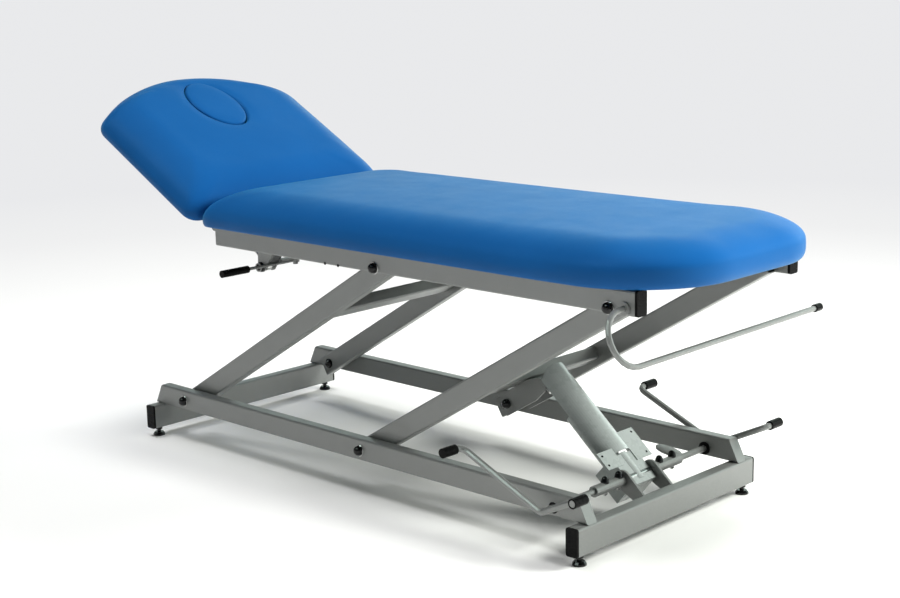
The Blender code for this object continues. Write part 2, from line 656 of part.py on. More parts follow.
def jack_yoke():
    """Two plates under the foot arms' cross tube, with the pin that the ram pushes."""
    half = YOKE_INSIDE / 2
    outside = half + YOKE_PLATE
    bottom = YOKE_TOP - YOKE_HEIGHT
    tube_front = FOOT_TUBE_ALONG + TUBE_HEIGHT / 2
    outline = [(YOKE_REAR, YOKE_TOP), (YOKE_REAR, bottom), (tube_front, bottom)]
    outline += arc((YOKE_PIN_ALONG, YOKE_PIN_Z), YOKE_NOSE, -math.pi / 2, math.pi / 2, 12)
    outline.append((tube_front, YOKE_TOP))
    web_low = (FOOT_TUBE_ALONG - TUBE_HEIGHT / 2, -half - YOKE_PLATE / 2, YOKE_TOP - YOKE_WEB)
    web_high = (tube_front, half + YOKE_PLATE / 2, YOKE_TOP - YOKE_WEB / 8)
    made = plate("jack_yoke", (outline,), -outside, -half, "xz", FOOT_ARMS, SILVER)
    fuse(made, box("yoke_web", web_low, web_high, FOOT_ARMS),
         plate("yoke_plate_left", (outline,), half, outside, "xz", FOOT_ARMS),
         rod("thrust_pin", THRUST_PIN, (YOKE_PIN_ALONG, -outside + YOKE_PLATE / 2, YOKE_PIN_Z),
             (YOKE_PIN_ALONG, outside - YOKE_PLATE / 2, YOKE_PIN_Z), FOOT_ARMS))
    bolt_x = YOKE_REAR + TIE_BOLT_INSET
    cut(made, hole_y("tie_bolt_hole", TIE_BOLT, bolt_x, YOKE_PIN_Z, -2 * outside, 2 * outside, FOOT_ARMS))
    seat = outside + GAP
    profile = [(r, seat + h) for r, h in dome(TIE_CAP / 2, TIE_CAP_HEIGHT)]
    profile += [(TIE_BOLT / 2, seat), (TIE_BOLT / 2, -seat)]
    profile += [(r, -seat - h) for r, h in reversed(dome(TIE_CAP / 2, TIE_CAP_HEIGHT))]
    turned("yoke_tie_bolt", profile, (bolt_x, 0.0, YOKE_PIN_Z), (math.pi / 2, 0.0, 0.0), FOOT_ARMS, BLACK)


def pump():
    """Pump block and cylinder, ram, and the pressed cover with its wings."""
    axis = -JACK_OFFSET
    made = box("pump_body", (axis - PUMP_BACK, -PUMP_WIDTH / 2, -PUMP_BELOW),
               (PUMP_FRONT, PUMP_WIDTH / 2, PUMP_ABOVE), JACK, COVER_GREY)
    fuse(made, rod("pump_cylinder", CYLINDER, (axis, 0.0, 0.0), (axis, 0.0, CYLINDER_TOP), JACK, segments=28),
         rod("pump_rib", PUMP_RIB, (PUMP_RIB_AT, 0.0, -PUMP_RIB_BELOW), (PUMP_RIB_AT, 0.0, PUMP_RIB_ABOVE),
             JACK, segments=28))
    cut(made, hole_y("pump_shaft_bore", SHAFT, 0.0, 0.0, -PUMP_WIDTH, PUMP_WIDTH, JACK),
        rod("ram_bore", RAM + 2 * RUNNING, (axis, 0.0, RAM_FLOOR), (axis, 0.0, 2 * CYLINDER_TOP), JACK))
    top = JACK_LENGTH - THRUST_PIN / 2 - GAP
    profile = [(0.0, top), (PAD / 2, top), (PAD / 2, top - PAD_THICK), (RAM / 2, top - PAD_THICK),
               (RAM / 2, top - RAM_LENGTH), (0.0, top - RAM_LENGTH)]
    turned("jack_ram", profile, (axis, 0.0, 0.0), (0.0, 0.0, 0.0), JACK, CHROME)
    jack_cover()


def jack_cover():
    """A curved shell round the ram, falling at its top corners, with a screwed wing on each side."""
    quarter = math.pi / 2
    centre = (0.0, -JACK_OFFSET)
    outer = list(arc(centre, COVER_RADIUS, quarter - COVER_SPAN, quarter + COVER_SPAN, 20))
    inner = list(arc(centre, COVER_RADIUS - COVER_SHEET, quarter - COVER_SPAN, quarter + COVER_SPAN, 20))
    made = plate("jack_cover", (outer + inner[::-1],), COVER_BOTTOM, COVER_TOP, "yx", JACK, COVER_GREY)
    low = PUMP_FRONT + GAP
    for side_name, side in SIDES:
        corner = [(side * (COVER_SHOULDER + (COVER_RADIUS - COVER_SHOULDER) * math.sin(angle)),
                   COVER_TOP - COVER_FALL * (1 - math.cos(angle)))
                  for angle in (quarter * index / 6 for index in range(7))]
        corner += [(2 * side * COVER_RADIUS, COVER_TOP - COVER_FALL), (2 * side * COVER_RADIUS, 2 * COVER_TOP),
                   (side * COVER_SHOULDER, 2 * COVER_TOP)]
        cut(made, plate("cover_corner_" + side_name, (corner,), -2 * COVER_RADIUS, 2 * COVER_RADIUS, "yz", JACK))
        near, far = sorted((side * WING_ROOT, side * WING_REACH))
        top = WING_TOP_RIGHT if side < 0 else WING_TOP_LEFT
        fuse(made, box("cover_wing_" + side_name, (low, near, WING_BOTTOM), (low + COVER_SHEET, far, top), JACK))
        for z in (WING_BOTTOM + WING_HOLE_INSET, top - WING_HOLE_INSET):
            y = side * (WING_REACH - WING_HOLE_INSET)
            cut(made, rod("wing_hole", WING_HOLE, (low - COVER_SHEET, y, z), (low + 2 * COVER_SHEET, y, z),
                          JACK, segments=10))


def pedal_set():
    """The pump's shaft, its two couplings and a rocker pedal on each side."""
    rod("pump_shaft", SHAFT, (0.0, -SHAFT_LENGTH / 2, 0.0), (0.0, SHAFT_LENGTH / 2, 0.0), PEDALS, CHROME)
    for side_name, side in SIDES:
        coupling(side_name, side)
        pedal(side_name, side)


def coupling(side_name, side):
    """A sleeve over the shaft and the pedal's stub, with two capped screws on top."""
    inner, outer = side * COUPLING_START, side * (COUPLING_START + COUPLING_LENGTH)
    name = "shaft_coupling_" + side_name
    made = rod(name, COUPLING, (0.0, inner, 0.0), (0.0, outer, 0.0), PEDALS, SILVER)
    middle = side * (COUPLING_START + COUPLING_LENGTH / 2) + (SCREW_SHIFT if side < 0 else 0.0)
    for offset in (-SCREW_SPACING / 2, SCREW_SPACING / 2):
        profile = [(r, h + COUPLING * 0.47) for r, h in dome(SCREW_CAP / 2, SCREW_CAP_HEIGHT, 3)]
        profile += [(SCREW_CAP / 2, COUPLING / 4), (0.0, COUPLING / 4)]
        fuse(made, turned(name + "_screw", profile, (0.0, middle + offset, 0.0), (0.0, 0.0, 0.0), PEDALS,
                          steps=10))
    return cut(made, hole_y(name + "_bore", SHAFT, 0.0, 0.0, inner / 2, 2 * outer, PEDALS))


def pedal(side_name, side):
    """A bent rocker rod on a stub, with a grip on each toe."""
    plane = PEDAL_SHIFT + side * PEDAL_PLANE
    toe = plane + side * PEDAL_TOE
    head_end = (-HEAD_PEDAL_REACH, HEAD_PEDAL_RISE)
    foot_end = (FOOT_PEDAL_REACH, FOOT_PEDAL_RISE)
    corners = [(head_end[0], toe - side * GRIP_END, head_end[1]), (head_end[0], plane, head_end[1]),
               (0.0, plane, 0.0), (foot_end[0], plane, foot_end[1]), (foot_end[0], toe, foot_end[1])]
    made = path_tube("pedal_" + side_name, PEDAL_ROD, bent(corners, PEDAL_BEND), PEDALS, SILVER)
    stub = side * (SHAFT_LENGTH / 2 + 2 * GAP)
    fuse(made, rod("pedal_stub_" + side_name, SHAFT, (0.0, stub, 0.0), (0.0, plane, 0.0), PEDALS))
    for end, (x, z), closed in (("head", head_end, GRIP_END), ("foot", foot_end, 0.0)):
        name = "pedal_grip_" + end + "_" + side_name
        start = toe - side * GRIP_LENGTH
        grip = rod(name, GRIP, (x, start, z), (x, toe, z), PEDALS, BLACK)
        bore_end = toe - side * (closed - GAP) if closed else toe + side * GRIP
        cut(grip, rod(name + "_bore", PEDAL_ROD + 2 * GAP, (x, start - side * GRIP, z), (x, bore_end, z),
                      PEDALS))


def upper_frame():
    """Upper rails with their hinge lugs, cross tubes, end plugs and upper pivots."""
    size = (TUBE_WIDTH, TUBE_HEIGHT)
    middle_z = (UPPER_BOTTOM + UPPER_TOP) / 2
    for side_name, side in SIDES:
        name = "upper_rail_" + side_name
        centre = (side * RAIL_MIDDLE, middle_z)
        rail = tube(name, size, UPPER_HEAD_END, UPPER_FOOT_END, "x", centre, UPPER, SILVER)
        inner = side * (RAIL_INSIDE - TUBE_WIDTH / 2)
        outer = side * (RAIL_SPAN / 2 + TUBE_WIDTH / 2)
        for end, x in (("head", -PIVOT_SPACING), ("foot", 0.0)):
            cut(rail, hole_y(name + "_pivot_hole", BOLT, x, 0.0, inner, outer, UPPER))
            pivot_bolt("pivot_bolt_upper_" + end + "_" + side_name, x, 0.0, side, UPPER)
        hinge_lug(rail, side_name, side)
        end_plug("upper_end_plug_" + side_name, size, UPPER_FOOT_END, 1, "x", centre, UPPER, UPPER_PLUG)
    reach = RAIL_INSIDE - GAP
    for end, x in (("foot", UPPER_FOOT_TUBE), ("head", UPPER_HEAD_TUBE)):
        tube("upper_cross_tube_" + end, (TUBE_HEIGHT, TUBE_WIDTH), -reach, reach, "y",
             (x, UPPER_TOP - TUBE_WIDTH / 2), UPPER, SILVER)
    roll_holder()


def hinge_lug(rail, side_name, side):
    """A welded lug that carries the head section's hinge pin."""
    weld = side * (RAIL_INSIDE + TUBE_WALL / 2)
    face = side * (RAIL_INSIDE - HINGE_LUG)
    low, high = sorted((weld, face))
    root = UPPER_HEAD_END + HINGE_LUG_OVERLAP
    outline = list(arc((HINGE_X, HINGE_Z), HINGE_LUG_RADIUS, math.pi / 2, 1.5 * math.pi, 10))
    outline += [(root, HINGE_Z - HINGE_LUG_RADIUS), (root, HINGE_Z + HINGE_LUG_RADIUS)]
    inner = side * (HEAD_BAR_OUT - HEAD_BAR_WIDTH - HINGE_LUG)
    fuse(rail, plate("hinge_lug_" + side_name, (outline,), low, high, "xz", UPPER),
         rod("hinge_pin_" + side_name, HINGE_PIN, (HINGE_X, (weld + face) / 2, HINGE_Z),
             (HINGE_X, inner, HINGE_Z), UPPER))


def roll_holder():
    """The paper-roll rod: out of the right rail, round a half turn and across the foot end."""
    face = -RAIL_SPAN / 2 - GAP
    fall = Vector((math.sin(ROLL_LEAN), 0.0, -math.cos(ROLL_LEAN)))
    top = Vector((ROLL_X, face - ROLL_FLANGE_THICK / 2, ROLL_RISE))
    turn_start = Vector((ROLL_X, face - ROLL_STUB, ROLL_RISE))
    centre = turn_start + fall * ROLL_BEND
    points = [top]
    for index in range(13):
        angle = math.pi * index / 12
        points.append(centre - fall * ROLL_BEND * math.cos(angle)
                      + Vector((0.0, -ROLL_BEND * math.sin(angle), 0.0)))
    last = points[-1]
    run_end = Vector((last.x, ROLL_END, last.z + ROLL_RUN_RISE))
    along = (run_end - last).normalized()
    points.append(run_end)
    made = path_tube("roll_holder", ROLL_ROD, points, UPPER, SILVER)
    fuse(made, rod("roll_holder_flange", ROLL_FLANGE, (ROLL_X, face, ROLL_RISE),
                   (ROLL_X, face - ROLL_FLANGE_THICK, ROLL_RISE), UPPER))
    start = run_end - along * ROLL_TIP_LENGTH * 0.7
    tip = rod("roll_holder_tip", ROLL_TIP, start, start + along * ROLL_TIP_LENGTH, UPPER, BLACK)
    cut(tip, rod("roll_tip_bore", ROLL_ROD + 2 * GAP, start - along * ROLL_TIP, run_end + along * GAP, UPPER))


def cushion_mesh(name, outline, bottom, thick, middle):
    """Rings round an outline: tucked underside, full belly, rolled edge and a low crown."""
    count = len(outline)
    normals = []
    for index in range(count):
        along = outline[(index + 1) % count] - outline[index - 1]
        normals.append(Vector((-along.y, along.x)).normalized())
    rise = thick - CUSHION_BELLY - CUSHION_CROWN
    rings = [(CUSHION_TUCK, 1.0, 0.0), (CUSHION_TUCK / 3, 1.0, CUSHION_BELLY / 3), (0.0, 1.0, CUSHION_BELLY)]
    for step in range(1, 7):
        angle = math.pi / 2 * step / 6
        rings.append((CUSHION_ROLL * (1 - math.cos(angle)), 1.0, CUSHION_BELLY + rise * math.sin(angle)))
    for scale in (0.8, 0.55, 0.25):
        rings.append((CUSHION_ROLL, scale, thick - CUSHION_CROWN * scale ** 2))
    form = bmesh.new()
    loops = []
    for inset, scale, height in rings:
        loop = []
        for point, normal in zip(outline, normals):
            place = (point + normal * inset - middle) * scale + middle
            loop.append(form.verts.new((place.x, place.y, bottom + height)))
        loops.append(loop)
    for lower, upper in zip(loops, loops[1:]):
        for index in range(count):
            following = (index + 1) % count
            form.faces.new((lower[index], lower[following], upper[following], upper[index]))
    form.faces.new(list(reversed(loops[0])))
    form.faces.new(loops[-1])
    return to_mesh(name, form)


def spread(start, stop, steps):
    """Points between two corners, both left out."""
    start, stop = Vector(start), Vector(stop)
    return [start.lerp(stop, index / steps) for index in range(1, steps)]


def join_runs(runs, steps):
    """A closed outline from arcs, with the straight stretches between them divided."""
    outline = []
    for run, following in zip(runs, runs[1:] + runs[:1]):
        points = [Vector(point) for point in run]
        outline += points + spread(points[-1], following[0], steps)
    return outline


def body_cushion():
    half = CUSHION_WIDTH / 2
    foot, head = BODY_FOOT_RADIUS, BODY_HEAD_RADIUS
    quarter = math.pi / 2
    runs = [list(arc((BODY_FOOT_END - foot, half - foot), foot, 0.0, quarter, 9)),
            list(arc((BODY_HEAD_END + head, half - head), head, quarter, 2 * quarter, 6)),
            list(arc((BODY_HEAD_END + head, head - half), head, 2 * quarter, 3 * quarter, 6)),
            list(arc((BODY_FOOT_END - foot, foot - half), foot, 3 * quarter, 4 * quarter, 9))]
    middle = Vector(((BODY_FOOT_END + BODY_HEAD_END) / 2, 0.0))
    mesh = cushion_mesh("body_cushion", join_runs(runs, 5), CUSHION_BOTTOM, BODY_THICK, middle)
    add("body_cushion", mesh, UPPER, BLUE)


def head_outline():
    """Square toward the body, bowed at the head end."""
    half = CUSHION_WIDTH / 2
    bow = HEAD_LENGTH - HEAD_SIDE
    radius = (half ** 2 + bow ** 2) / (2 * bow)
    centre_x = radius - HEAD_REACH
    corner = HEAD_OUTER_RADIUS
    inner = HEAD_INNER_RADIUS
    inner_x = -HEAD_GAP - inner
    inner_y = half - inner
    quarter = math.pi / 2
    blend_y = half - corner
    blend_x = centre_x - math.sqrt((radius - corner) ** 2 - blend_y ** 2)
    lean = math.atan2(blend_y, centre_x - blend_x)
    runs = [list(arc((inner_x, inner_y), inner, 0.0, quarter, 6)),
            list(arc((blend_x, blend_y), corner, quarter, math.pi - lean, 6))
            + list(arc((centre_x, 0.0), radius, math.pi - lean, math.pi + lean, 10))[1:-1]
            + list(arc((blend_x, -blend_y), corner, math.pi + lean, 3 * quarter, 6)),
            list(arc((inner_x, -inner_y), inner, 3 * quarter, 4 * quarter, 6))]
    return join_runs(runs, 5)


def oval(long, wide, steps=28):
    return [(-FACE_HOLE_AT + long / 2 * math.cos(angle), wide / 2 * math.sin(angle))
            for angle in (2 * math.pi * index / steps for index in range(steps))]


def head_section():
    """Head cushion with its face hole, the plug that fills it, and the frame beneath."""
    middle = Vector((-HEAD_GAP - HEAD_LENGTH * 0.47, 0.0))
    outline = head_outline()
    mesh = cushion_mesh("head_cushion", outline, HEAD_BOTTOM, HEAD_THICK, middle)
    plug_mesh = cushion_mesh("face_plug", outline, HEAD_BOTTOM, HEAD_THICK, middle)
    low, high = HEAD_BOTTOM - HEAD_THICK, HEAD_BOTTOM + 2 * HEAD_THICK
    hole = oval(FACE_HOLE_LONG, FACE_HOLE_WIDE)
    cut(add("head_cushion", mesh, HEAD, BLUE), plate("face_hole", (hole,), low, high, "xy", HEAD))
    shrink = 2 * PLUG_CLEARANCE
    core = oval(FACE_HOLE_LONG - shrink, FACE_HOLE_WIDE - shrink)
    boolean(add("face_plug", plug_mesh, HEAD, BLUE), plate("plug_core", (core,), low, high, "xy", HEAD),
            "INTERSECT")
    head_frame()


def head_frame():
    """Two side bars on the hinge, a cross bar, and lugs for the strut's anchor pin."""
    top = HEAD_BOTTOM - GAP
    bottom = top - HEAD_BAR_HEIGHT
    inside = HEAD_BAR_OUT - HEAD_BAR_WIDTH
    outline = list(arc((0.0, 0.0), top, 0.0, math.pi / 2, 5))
    outline += [(-HEAD_BAR_LENGTH, top), (-HEAD_BAR_LENGTH, bottom), (-top, bottom)]
    outline += list(arc((0.0, 0.0), top, 1.3 * math.pi, 2 * math.pi, 8))[:-1]
    made = plate("head_frame", (outline,), -HEAD_BAR_OUT, -inside, "xz", HEAD, SILVER)
    bar_low = (-ANCHOR_ALONG - HEAD_BAR_WIDTH / 2, -inside - GAP, bottom + GAP)
    bar_high = (-ANCHOR_ALONG + HEAD_BAR_WIDTH / 2, inside + GAP, top - GAP)
    fuse(made, box("head_cross_bar", bar_low, bar_high, HEAD),
         plate("head_side_bar_left", (outline,), inside, HEAD_BAR_OUT, "xz", HEAD))
    lug_radius = ANCHOR_PIN
    lug = list(arc((-ANCHOR_ALONG, -ANCHOR_DROP), lug_radius, math.pi, 2 * math.pi, 8))
    lug += [(-ANCHOR_ALONG + lug_radius, bottom + HEAD_BAR_HEIGHT / 2),
            (-ANCHOR_ALONG - lug_radius, bottom + HEAD_BAR_HEIGHT / 2)]
    for side_name, side in SIDES:
        near = STRUT_Y + side * ANCHOR_INSIDE / 2
        far = near + side * ANCHOR_LUG
        low, high = sorted((near, far))
        fuse(made, plate("anchor_lug_" + side_name, (lug,), low, high, "xz", HEAD))
    reach = ANCHOR_INSIDE / 2 + ANCHOR_LUG / 2
    fuse(made, rod("anchor_pin", ANCHOR_PIN, (-ANCHOR_ALONG, STRUT_Y - reach, -ANCHOR_DROP),
                   (-ANCHOR_ALONG, STRUT_Y + reach, -ANCHOR_DROP), HEAD))
    cut(made, hole_y("head_hinge_bore", HINGE_PIN, 0.0, 0.0, -RAIL_SPAN, RAIL_SPAN, HEAD))


def strut():
    """Gas strut: the rod on the hanger's pin, the tube slotted onto the anchor pin."""
    half = STRUT_EYE_WIDE / 2
    made = rod("strut_rod", STRUT_EYE, (0.0, -half, 0.0), (0.0, half, 0.0), STRUT, CHROME)
    fuse(made, rod("strut_rod_shank", STRUT_ROD, (0.0, 0.0, 0.0), (0.0, 0.0, STRUT_ROD_LENGTH), STRUT))
    cut(made, hole_y("strut_eye_bore", STRUT_PIN, 0.0, 0.0, -STRUT_EYE, STRUT_EYE, STRUT))
    top = STRUT_LENGTH - STRUT_TAB
    low = top - STRUT_TUBE_LENGTH
    case = rod("strut_tube", STRUT_TUBE, (0.0, 0.0, low), (0.0, 0.0, top), STRUT, BLACK)
    slot_low, slot_high = STRUT_LENGTH - STRUT_SLOT_IN, STRUT_LENGTH + STRUT_SLOT_OUT
    radius = STRUT_TUBE / 2
    bore = ANCHOR_PIN / 2 + RUNNING
    outline = [(-radius, top - STRUT_TAB / 2), (radius, top - STRUT_TAB / 2)]
    outline += arc((0.0, slot_high), STRUT_TAB_END, 0.0, math.pi, 10)
    slot = list(arc((0.0, slot_low), bore, math.pi, 2 * math.pi, 8))
    slot += arc((0.0, slot_high), bore, 0.0, math.pi, 8)
    fuse(case, plate("strut_tab", (outline, slot), -STRUT_TAB_THICK / 2, STRUT_TAB_THICK / 2, "xz", STRUT))
    cut(case, rod("strut_bore", STRUT_ROD + 2 * RUNNING, (0.0, 0.0, low - STRUT_TUBE),
                  (0.0, 0.0, low + STRUT_BORE), STRUT))


def strut_hanger():
    """Plates under the head cross tube with the strut's pin, and the release lever's pivot."""
    top = UPPER_TOP - TUBE_WIDTH - GAP
    half = HANGER_INSIDE / 2
    outside = half + HANGER_PLATE
    middle = STRUT_X + HANGER_TOP_SHIFT
    outline = list(arc((STRUT_X, STRUT_Z), HANGER_END, math.pi, 1.75 * math.pi, 8))
    outline += [(middle + HANGER_TOP / 2, top), (middle - HANGER_TOP / 2, top)]
    made = plate("strut_hanger", (outline,), STRUT_Y - outside, STRUT_Y - half, "xz", UPPER, SILVER)
    web_low = (middle - HANGER_TOP / 2, STRUT_Y - half - HANGER_PLATE / 2, top - HANGER_PLATE)
    web_high = (middle + HANGER_TOP / 2, STRUT_Y + half + HANGER_PLATE / 2, top - HANGER_PLATE / 8)
    fuse(made, box("hanger_web", web_low, web_high, UPPER),
         plate("hanger_plate_left", (outline,), STRUT_Y + half, STRUT_Y + outside, "xz", UPPER))
    cap_end = STRUT_Y - outside - HANGER_CAP_HEIGHT
    cap_seat = STRUT_Y - outside + HANGER_PLATE / 4
    fuse(made, rod("strut_pin", STRUT_PIN, (STRUT_X, (cap_end + cap_seat) / 2, STRUT_Z),
                   (STRUT_X, STRUT_Y + outside + HANGER_PLATE, STRUT_Z), UPPER),
         rod("strut_pin_cap", HANGER_CAP, (STRUT_X, cap_end, STRUT_Z), (STRUT_X, cap_seat, STRUT_Z), UPPER,
             segments=14))
    lever_z = STRUT_Z + LEVER_RISE
    seat = lever_z + LEVER_ROD / 2 + GAP
    foot = lever_z - LEVER_ROD / 2 - GAP
    lug_low = (LEVER_X - LEVER_EYE / 2, STRUT_Y + half + HANGER_PLATE / 2, seat)
    lug_high = (LEVER_X + LEVER_EYE / 2, LEVER_PIVOT_Y + LEVER_EYE / 2, seat + HANGER_PLATE)
    fuse(made, box("lever_lug", lug_low, lug_high, UPPER),
         rod("lever_pin", LEVER_PIN, (LEVER_X, LEVER_PIVOT_Y, foot - HANGER_PLATE / 2),
             (LEVER_X, LEVER_PIVOT_Y, seat + HANGER_PLATE / 2), UPPER),
         rod("lever_pin_head", LEVER_PIN * 1.6, (LEVER_X, LEVER_PIVOT_Y, foot - HANGER_PLATE),
             (LEVER_X, LEVER_PIVOT_Y, foot), UPPER))


def release_lever():
    """A rod that swings on the hanger's lug, with a grip near the table's edge."""
    half = LEVER_ROD / 2
    made = rod("release_lever", LEVER_EYE, (0.0, 0.0, -half), (0.0, 0.0, half), LEVER, SILVER)
    end = -LEVER_REACH + GRIP_END
    fuse(made, rod("lever_rod", LEVER_ROD, (0.0, -LEVER_EYE / 4, 0.0), (0.0, end, 0.0), LEVER, segments=12))
    cut(made, rod("lever_bore", LEVER_PIN + 2 * RUNNING, (0.0, 0.0, -LEVER_EYE), (0.0, 0.0, LEVER_EYE), LEVER))
    start = -LEVER_REACH + LEVER_GRIP_LENGTH
    grip = rod("release_grip", LEVER_GRIP, (0.0, start, 0.0), (0.0, -LEVER_REACH, 0.0), LEVER, BLACK)
    cut(grip, rod("release_grip_bore", LEVER_ROD + 2 * GAP, (0.0, start + LEVER_GRIP, 0.0),
                  (0.0, end - GAP, 0.0), LEVER, segments=12))


base_frame()
jack_bracket()
arm_pair("head", HEAD_ARMS, HEAD_TUBE_ALONG)
arm_pair("foot", FOOT_ARMS, FOOT_TUBE_ALONG)
jack_yoke()
pump()
pedal_set()
upper_frame()
body_cushion()
head_section()
strut()
strut_hanger()
release_lever()
bpy.context.view_layer.update()
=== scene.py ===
"""Looks of a hydraulic massage table: upholstery, paint, small fittings, floor, light and camera.

Metres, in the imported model's frame: +X toward the foot end, +Z up.
"""
import json
import math

import bpy
import numpy as np
from mathutils import Matrix, Vector


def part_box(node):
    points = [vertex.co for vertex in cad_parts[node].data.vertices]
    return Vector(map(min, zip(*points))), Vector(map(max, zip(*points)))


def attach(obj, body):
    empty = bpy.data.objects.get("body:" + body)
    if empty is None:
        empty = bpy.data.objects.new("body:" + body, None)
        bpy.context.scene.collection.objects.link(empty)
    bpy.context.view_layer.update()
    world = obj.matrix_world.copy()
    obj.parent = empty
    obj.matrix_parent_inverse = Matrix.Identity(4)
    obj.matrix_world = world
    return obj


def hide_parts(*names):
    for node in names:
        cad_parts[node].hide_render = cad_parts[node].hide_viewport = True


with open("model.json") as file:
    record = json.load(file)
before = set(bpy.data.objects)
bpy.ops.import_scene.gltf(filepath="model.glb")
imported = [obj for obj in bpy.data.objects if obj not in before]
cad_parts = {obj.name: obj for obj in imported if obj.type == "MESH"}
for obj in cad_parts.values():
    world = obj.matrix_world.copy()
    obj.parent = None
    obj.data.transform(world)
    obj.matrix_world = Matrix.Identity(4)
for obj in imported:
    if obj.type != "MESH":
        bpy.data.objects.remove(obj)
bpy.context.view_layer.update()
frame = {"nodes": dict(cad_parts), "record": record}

# Camera of the photograph
CAMERA_AT = Vector((2.662014, -2.6466, 1.2059))
CAMERA_AZIMUTH = math.radians(44.0897)
CAMERA_ELEVATION = math.radians(12.1068)
CAMERA_ROLL = math.radians(-1.2825)
CAMERA_LENS = 65.235
CAMERA_SENSOR = 36.0
CAMERA_FAR = 300.0

# Places on the frame
MIDDLE_Y = 0.014
UPPER_PIVOT = Vector((0.771573, MIDDLE_Y, 0.532517))
HEAD_HINGE = Vector((-0.466427, MIDDLE_Y, 0.560417))
HEAD_TILT = math.radians(28.8)
SHAFT = Vector((0.629514, MIDDLE_Y, 0.100))
JACK_ALONG = Vector((-0.758217, 0.0, 0.652003))
JACK_FRONT = Vector((0.652003, 0.0, 0.758217))
STRUT_PIN = Vector((-0.397427, -0.131, 0.455517))

# Upholstery
PAD_WIDTH = 0.640
PAD_ROLL = 0.110             # how far the rolled edge reaches in from the outline
PAD_CROWN = 0.004
PAD_SWELL = 0.0026           # how far the stuffing may push the cover out
PAD_CORE = 0.30              # size of the innermost ring, as a share of the outline
PAD_HELD = 0.012             # the board holds the cover below this height
PAD_EASE = 0.020             # and lets it go over this much more
BODY_FOOT = 0.163
BODY_HEAD = -1.2245
BODY_FOOT_RADIUS = 0.221
BODY_HEAD_RADIUS = 0.050
BODY_TOP_RADII = (0.125, 0.075)
BODY_BOTTOM = 0.0398
BODY_THICK = 0.0903
BODY_BELLY = (0.022, 0.038)  # height of the widest place at the head end and the foot end
BODY_TUCK = (0.006, 0.012)   # how far the cover draws in below it
BODY_TURN = 0.40             # run before the foot end in which both change over
HEAD_NEAR = 0.010
HEAD_LONG = 0.5364
HEAD_STRAIGHT = 0.4085
HEAD_NEAR_RADIUS = 0.034
HEAD_FAR_RADIUS = 0.050
HEAD_TOP_RADII = (0.060, 0.085)
HEAD_TOP_FAR = 0.056
HEAD_BOTTOM = 0.0119
HEAD_THICK = 0.0884
HEAD_BELLY = (0.016, 0.016)
HEAD_TUCK = (0.006, 0.006)
FACE_AT = 0.374
FACE_SIDE = -0.004
FACE_LONG = 0.205
FACE_WIDE = 0.144
FACE_LIP = 0.006
PLUG_SLACK = 0.0017
PLUG_SUNK = 0.0015           # its lip below the head pad's top
PLUG_CROWN = 0.002
PLUG_FOOT = 0.003            # height of its rounded lower edge
PLUG_FREE = 0.012            # depth of cover at its top that the stuffing moves
PLUG_SWELL = 0.0012
PLUG_CORE = 0.40
BOARD_INSET = 0.020
BOARD_THICK = 0.009
BOARD_PROUD = 0.00025        # its underside below the pad's

# Divisions of the pads' meshes
BODY_POINTS = 240            # round the outline
HEAD_POINTS = 200
PLUG_POINTS = 120
BODY_CAP = 20                # half the width of the grid that closes the middle
PLUG_CAP = 15
FOOT_STEPS = 40
CORNER_STEPS = 16
BOW_STEPS = 60
HOLE_RINGS = 6
LIP_RINGS = 6
TOP_RINGS = 26
ROLL_RINGS = 17
UNDER_RINGS = 14
TUCK_RINGS = ((0.10, 0.62), (0.33, 0.33), (0.62, 0.10), (1.0, 0.0))  # shares of the tuck and of the belly's height
BOARD_CORNER_STEPS = 10

# Stuffing
STUFFING_FRAMES = 20
STUFFING_PRESSURE = 4.0
STUFFING_START = 0.6         # share of the swell by which the cover starts drawn in
STUFFING_PASSES = 6          # of smoothing over the cover's movement
STUFFING_CORE = 8            # rings over which the middle's own movement fades out

# Small fittings: caps, screws and washers as (radius, height), nuts with their stud's length
COUPLING_SCREWS = (("right", "outer", -0.0965), ("right", "inner", -0.0505),
                   ("left", "inner", 0.0915), ("left", "outer", 0.1375))
SCREW_CAP = (0.0090, 0.0148)
SCREW_CAP_RISE = 0.0098
SCREW_NUT = (0.0062, 0.0048, 0.0022)
SCREW_NUT_DROP = 0.0108
WING_SCREWS = (("right", -1, (0.039, 0.0635)), ("left", 1, (0.039, 0.0945)))
WING_SCREW = (0.0027, 0.0012)
WING_SCREW_FRONT = 0.0077
WING_SCREW_SIDE = 0.065
PIVOT_WASHER = (0.0136, 0.0018)
PIVOT_WASHER_IN = 0.0116     # its seat behind the bolt's end
PIVOT_CAP = (0.0118, 0.0128)
PIVOT_CAP_RISE = 0.0012
TONGUE_AT = Vector((-0.034, 0.158, 0.006))
TONGUE_NORMAL = (0.16, 0.0, 1.0)
TONGUE_RADIUS = 0.016
TONGUE_STRETCH = (2.1, 1.15, 1.0)
TONGUE_THICK = 0.005
TONGUE_EDGE = 0.0025
TONGUE_CROWN = 0.0012
STRUT_CAP = (0.0122, 0.0128)
STRUT_CAP_OUT = 0.0187
YOKE_CAP = (0.0112, 0.0130)
YOKE_CAP_IN = 0.0072
RAIL_SCREW = (0.0034, 0.0016)
RAIL_SCREWS_AT = ((-0.0341, -0.2628, 0.5242), (0.0091, -0.2628, 0.5242))
SMOOTH_ANGLE = math.radians(38)

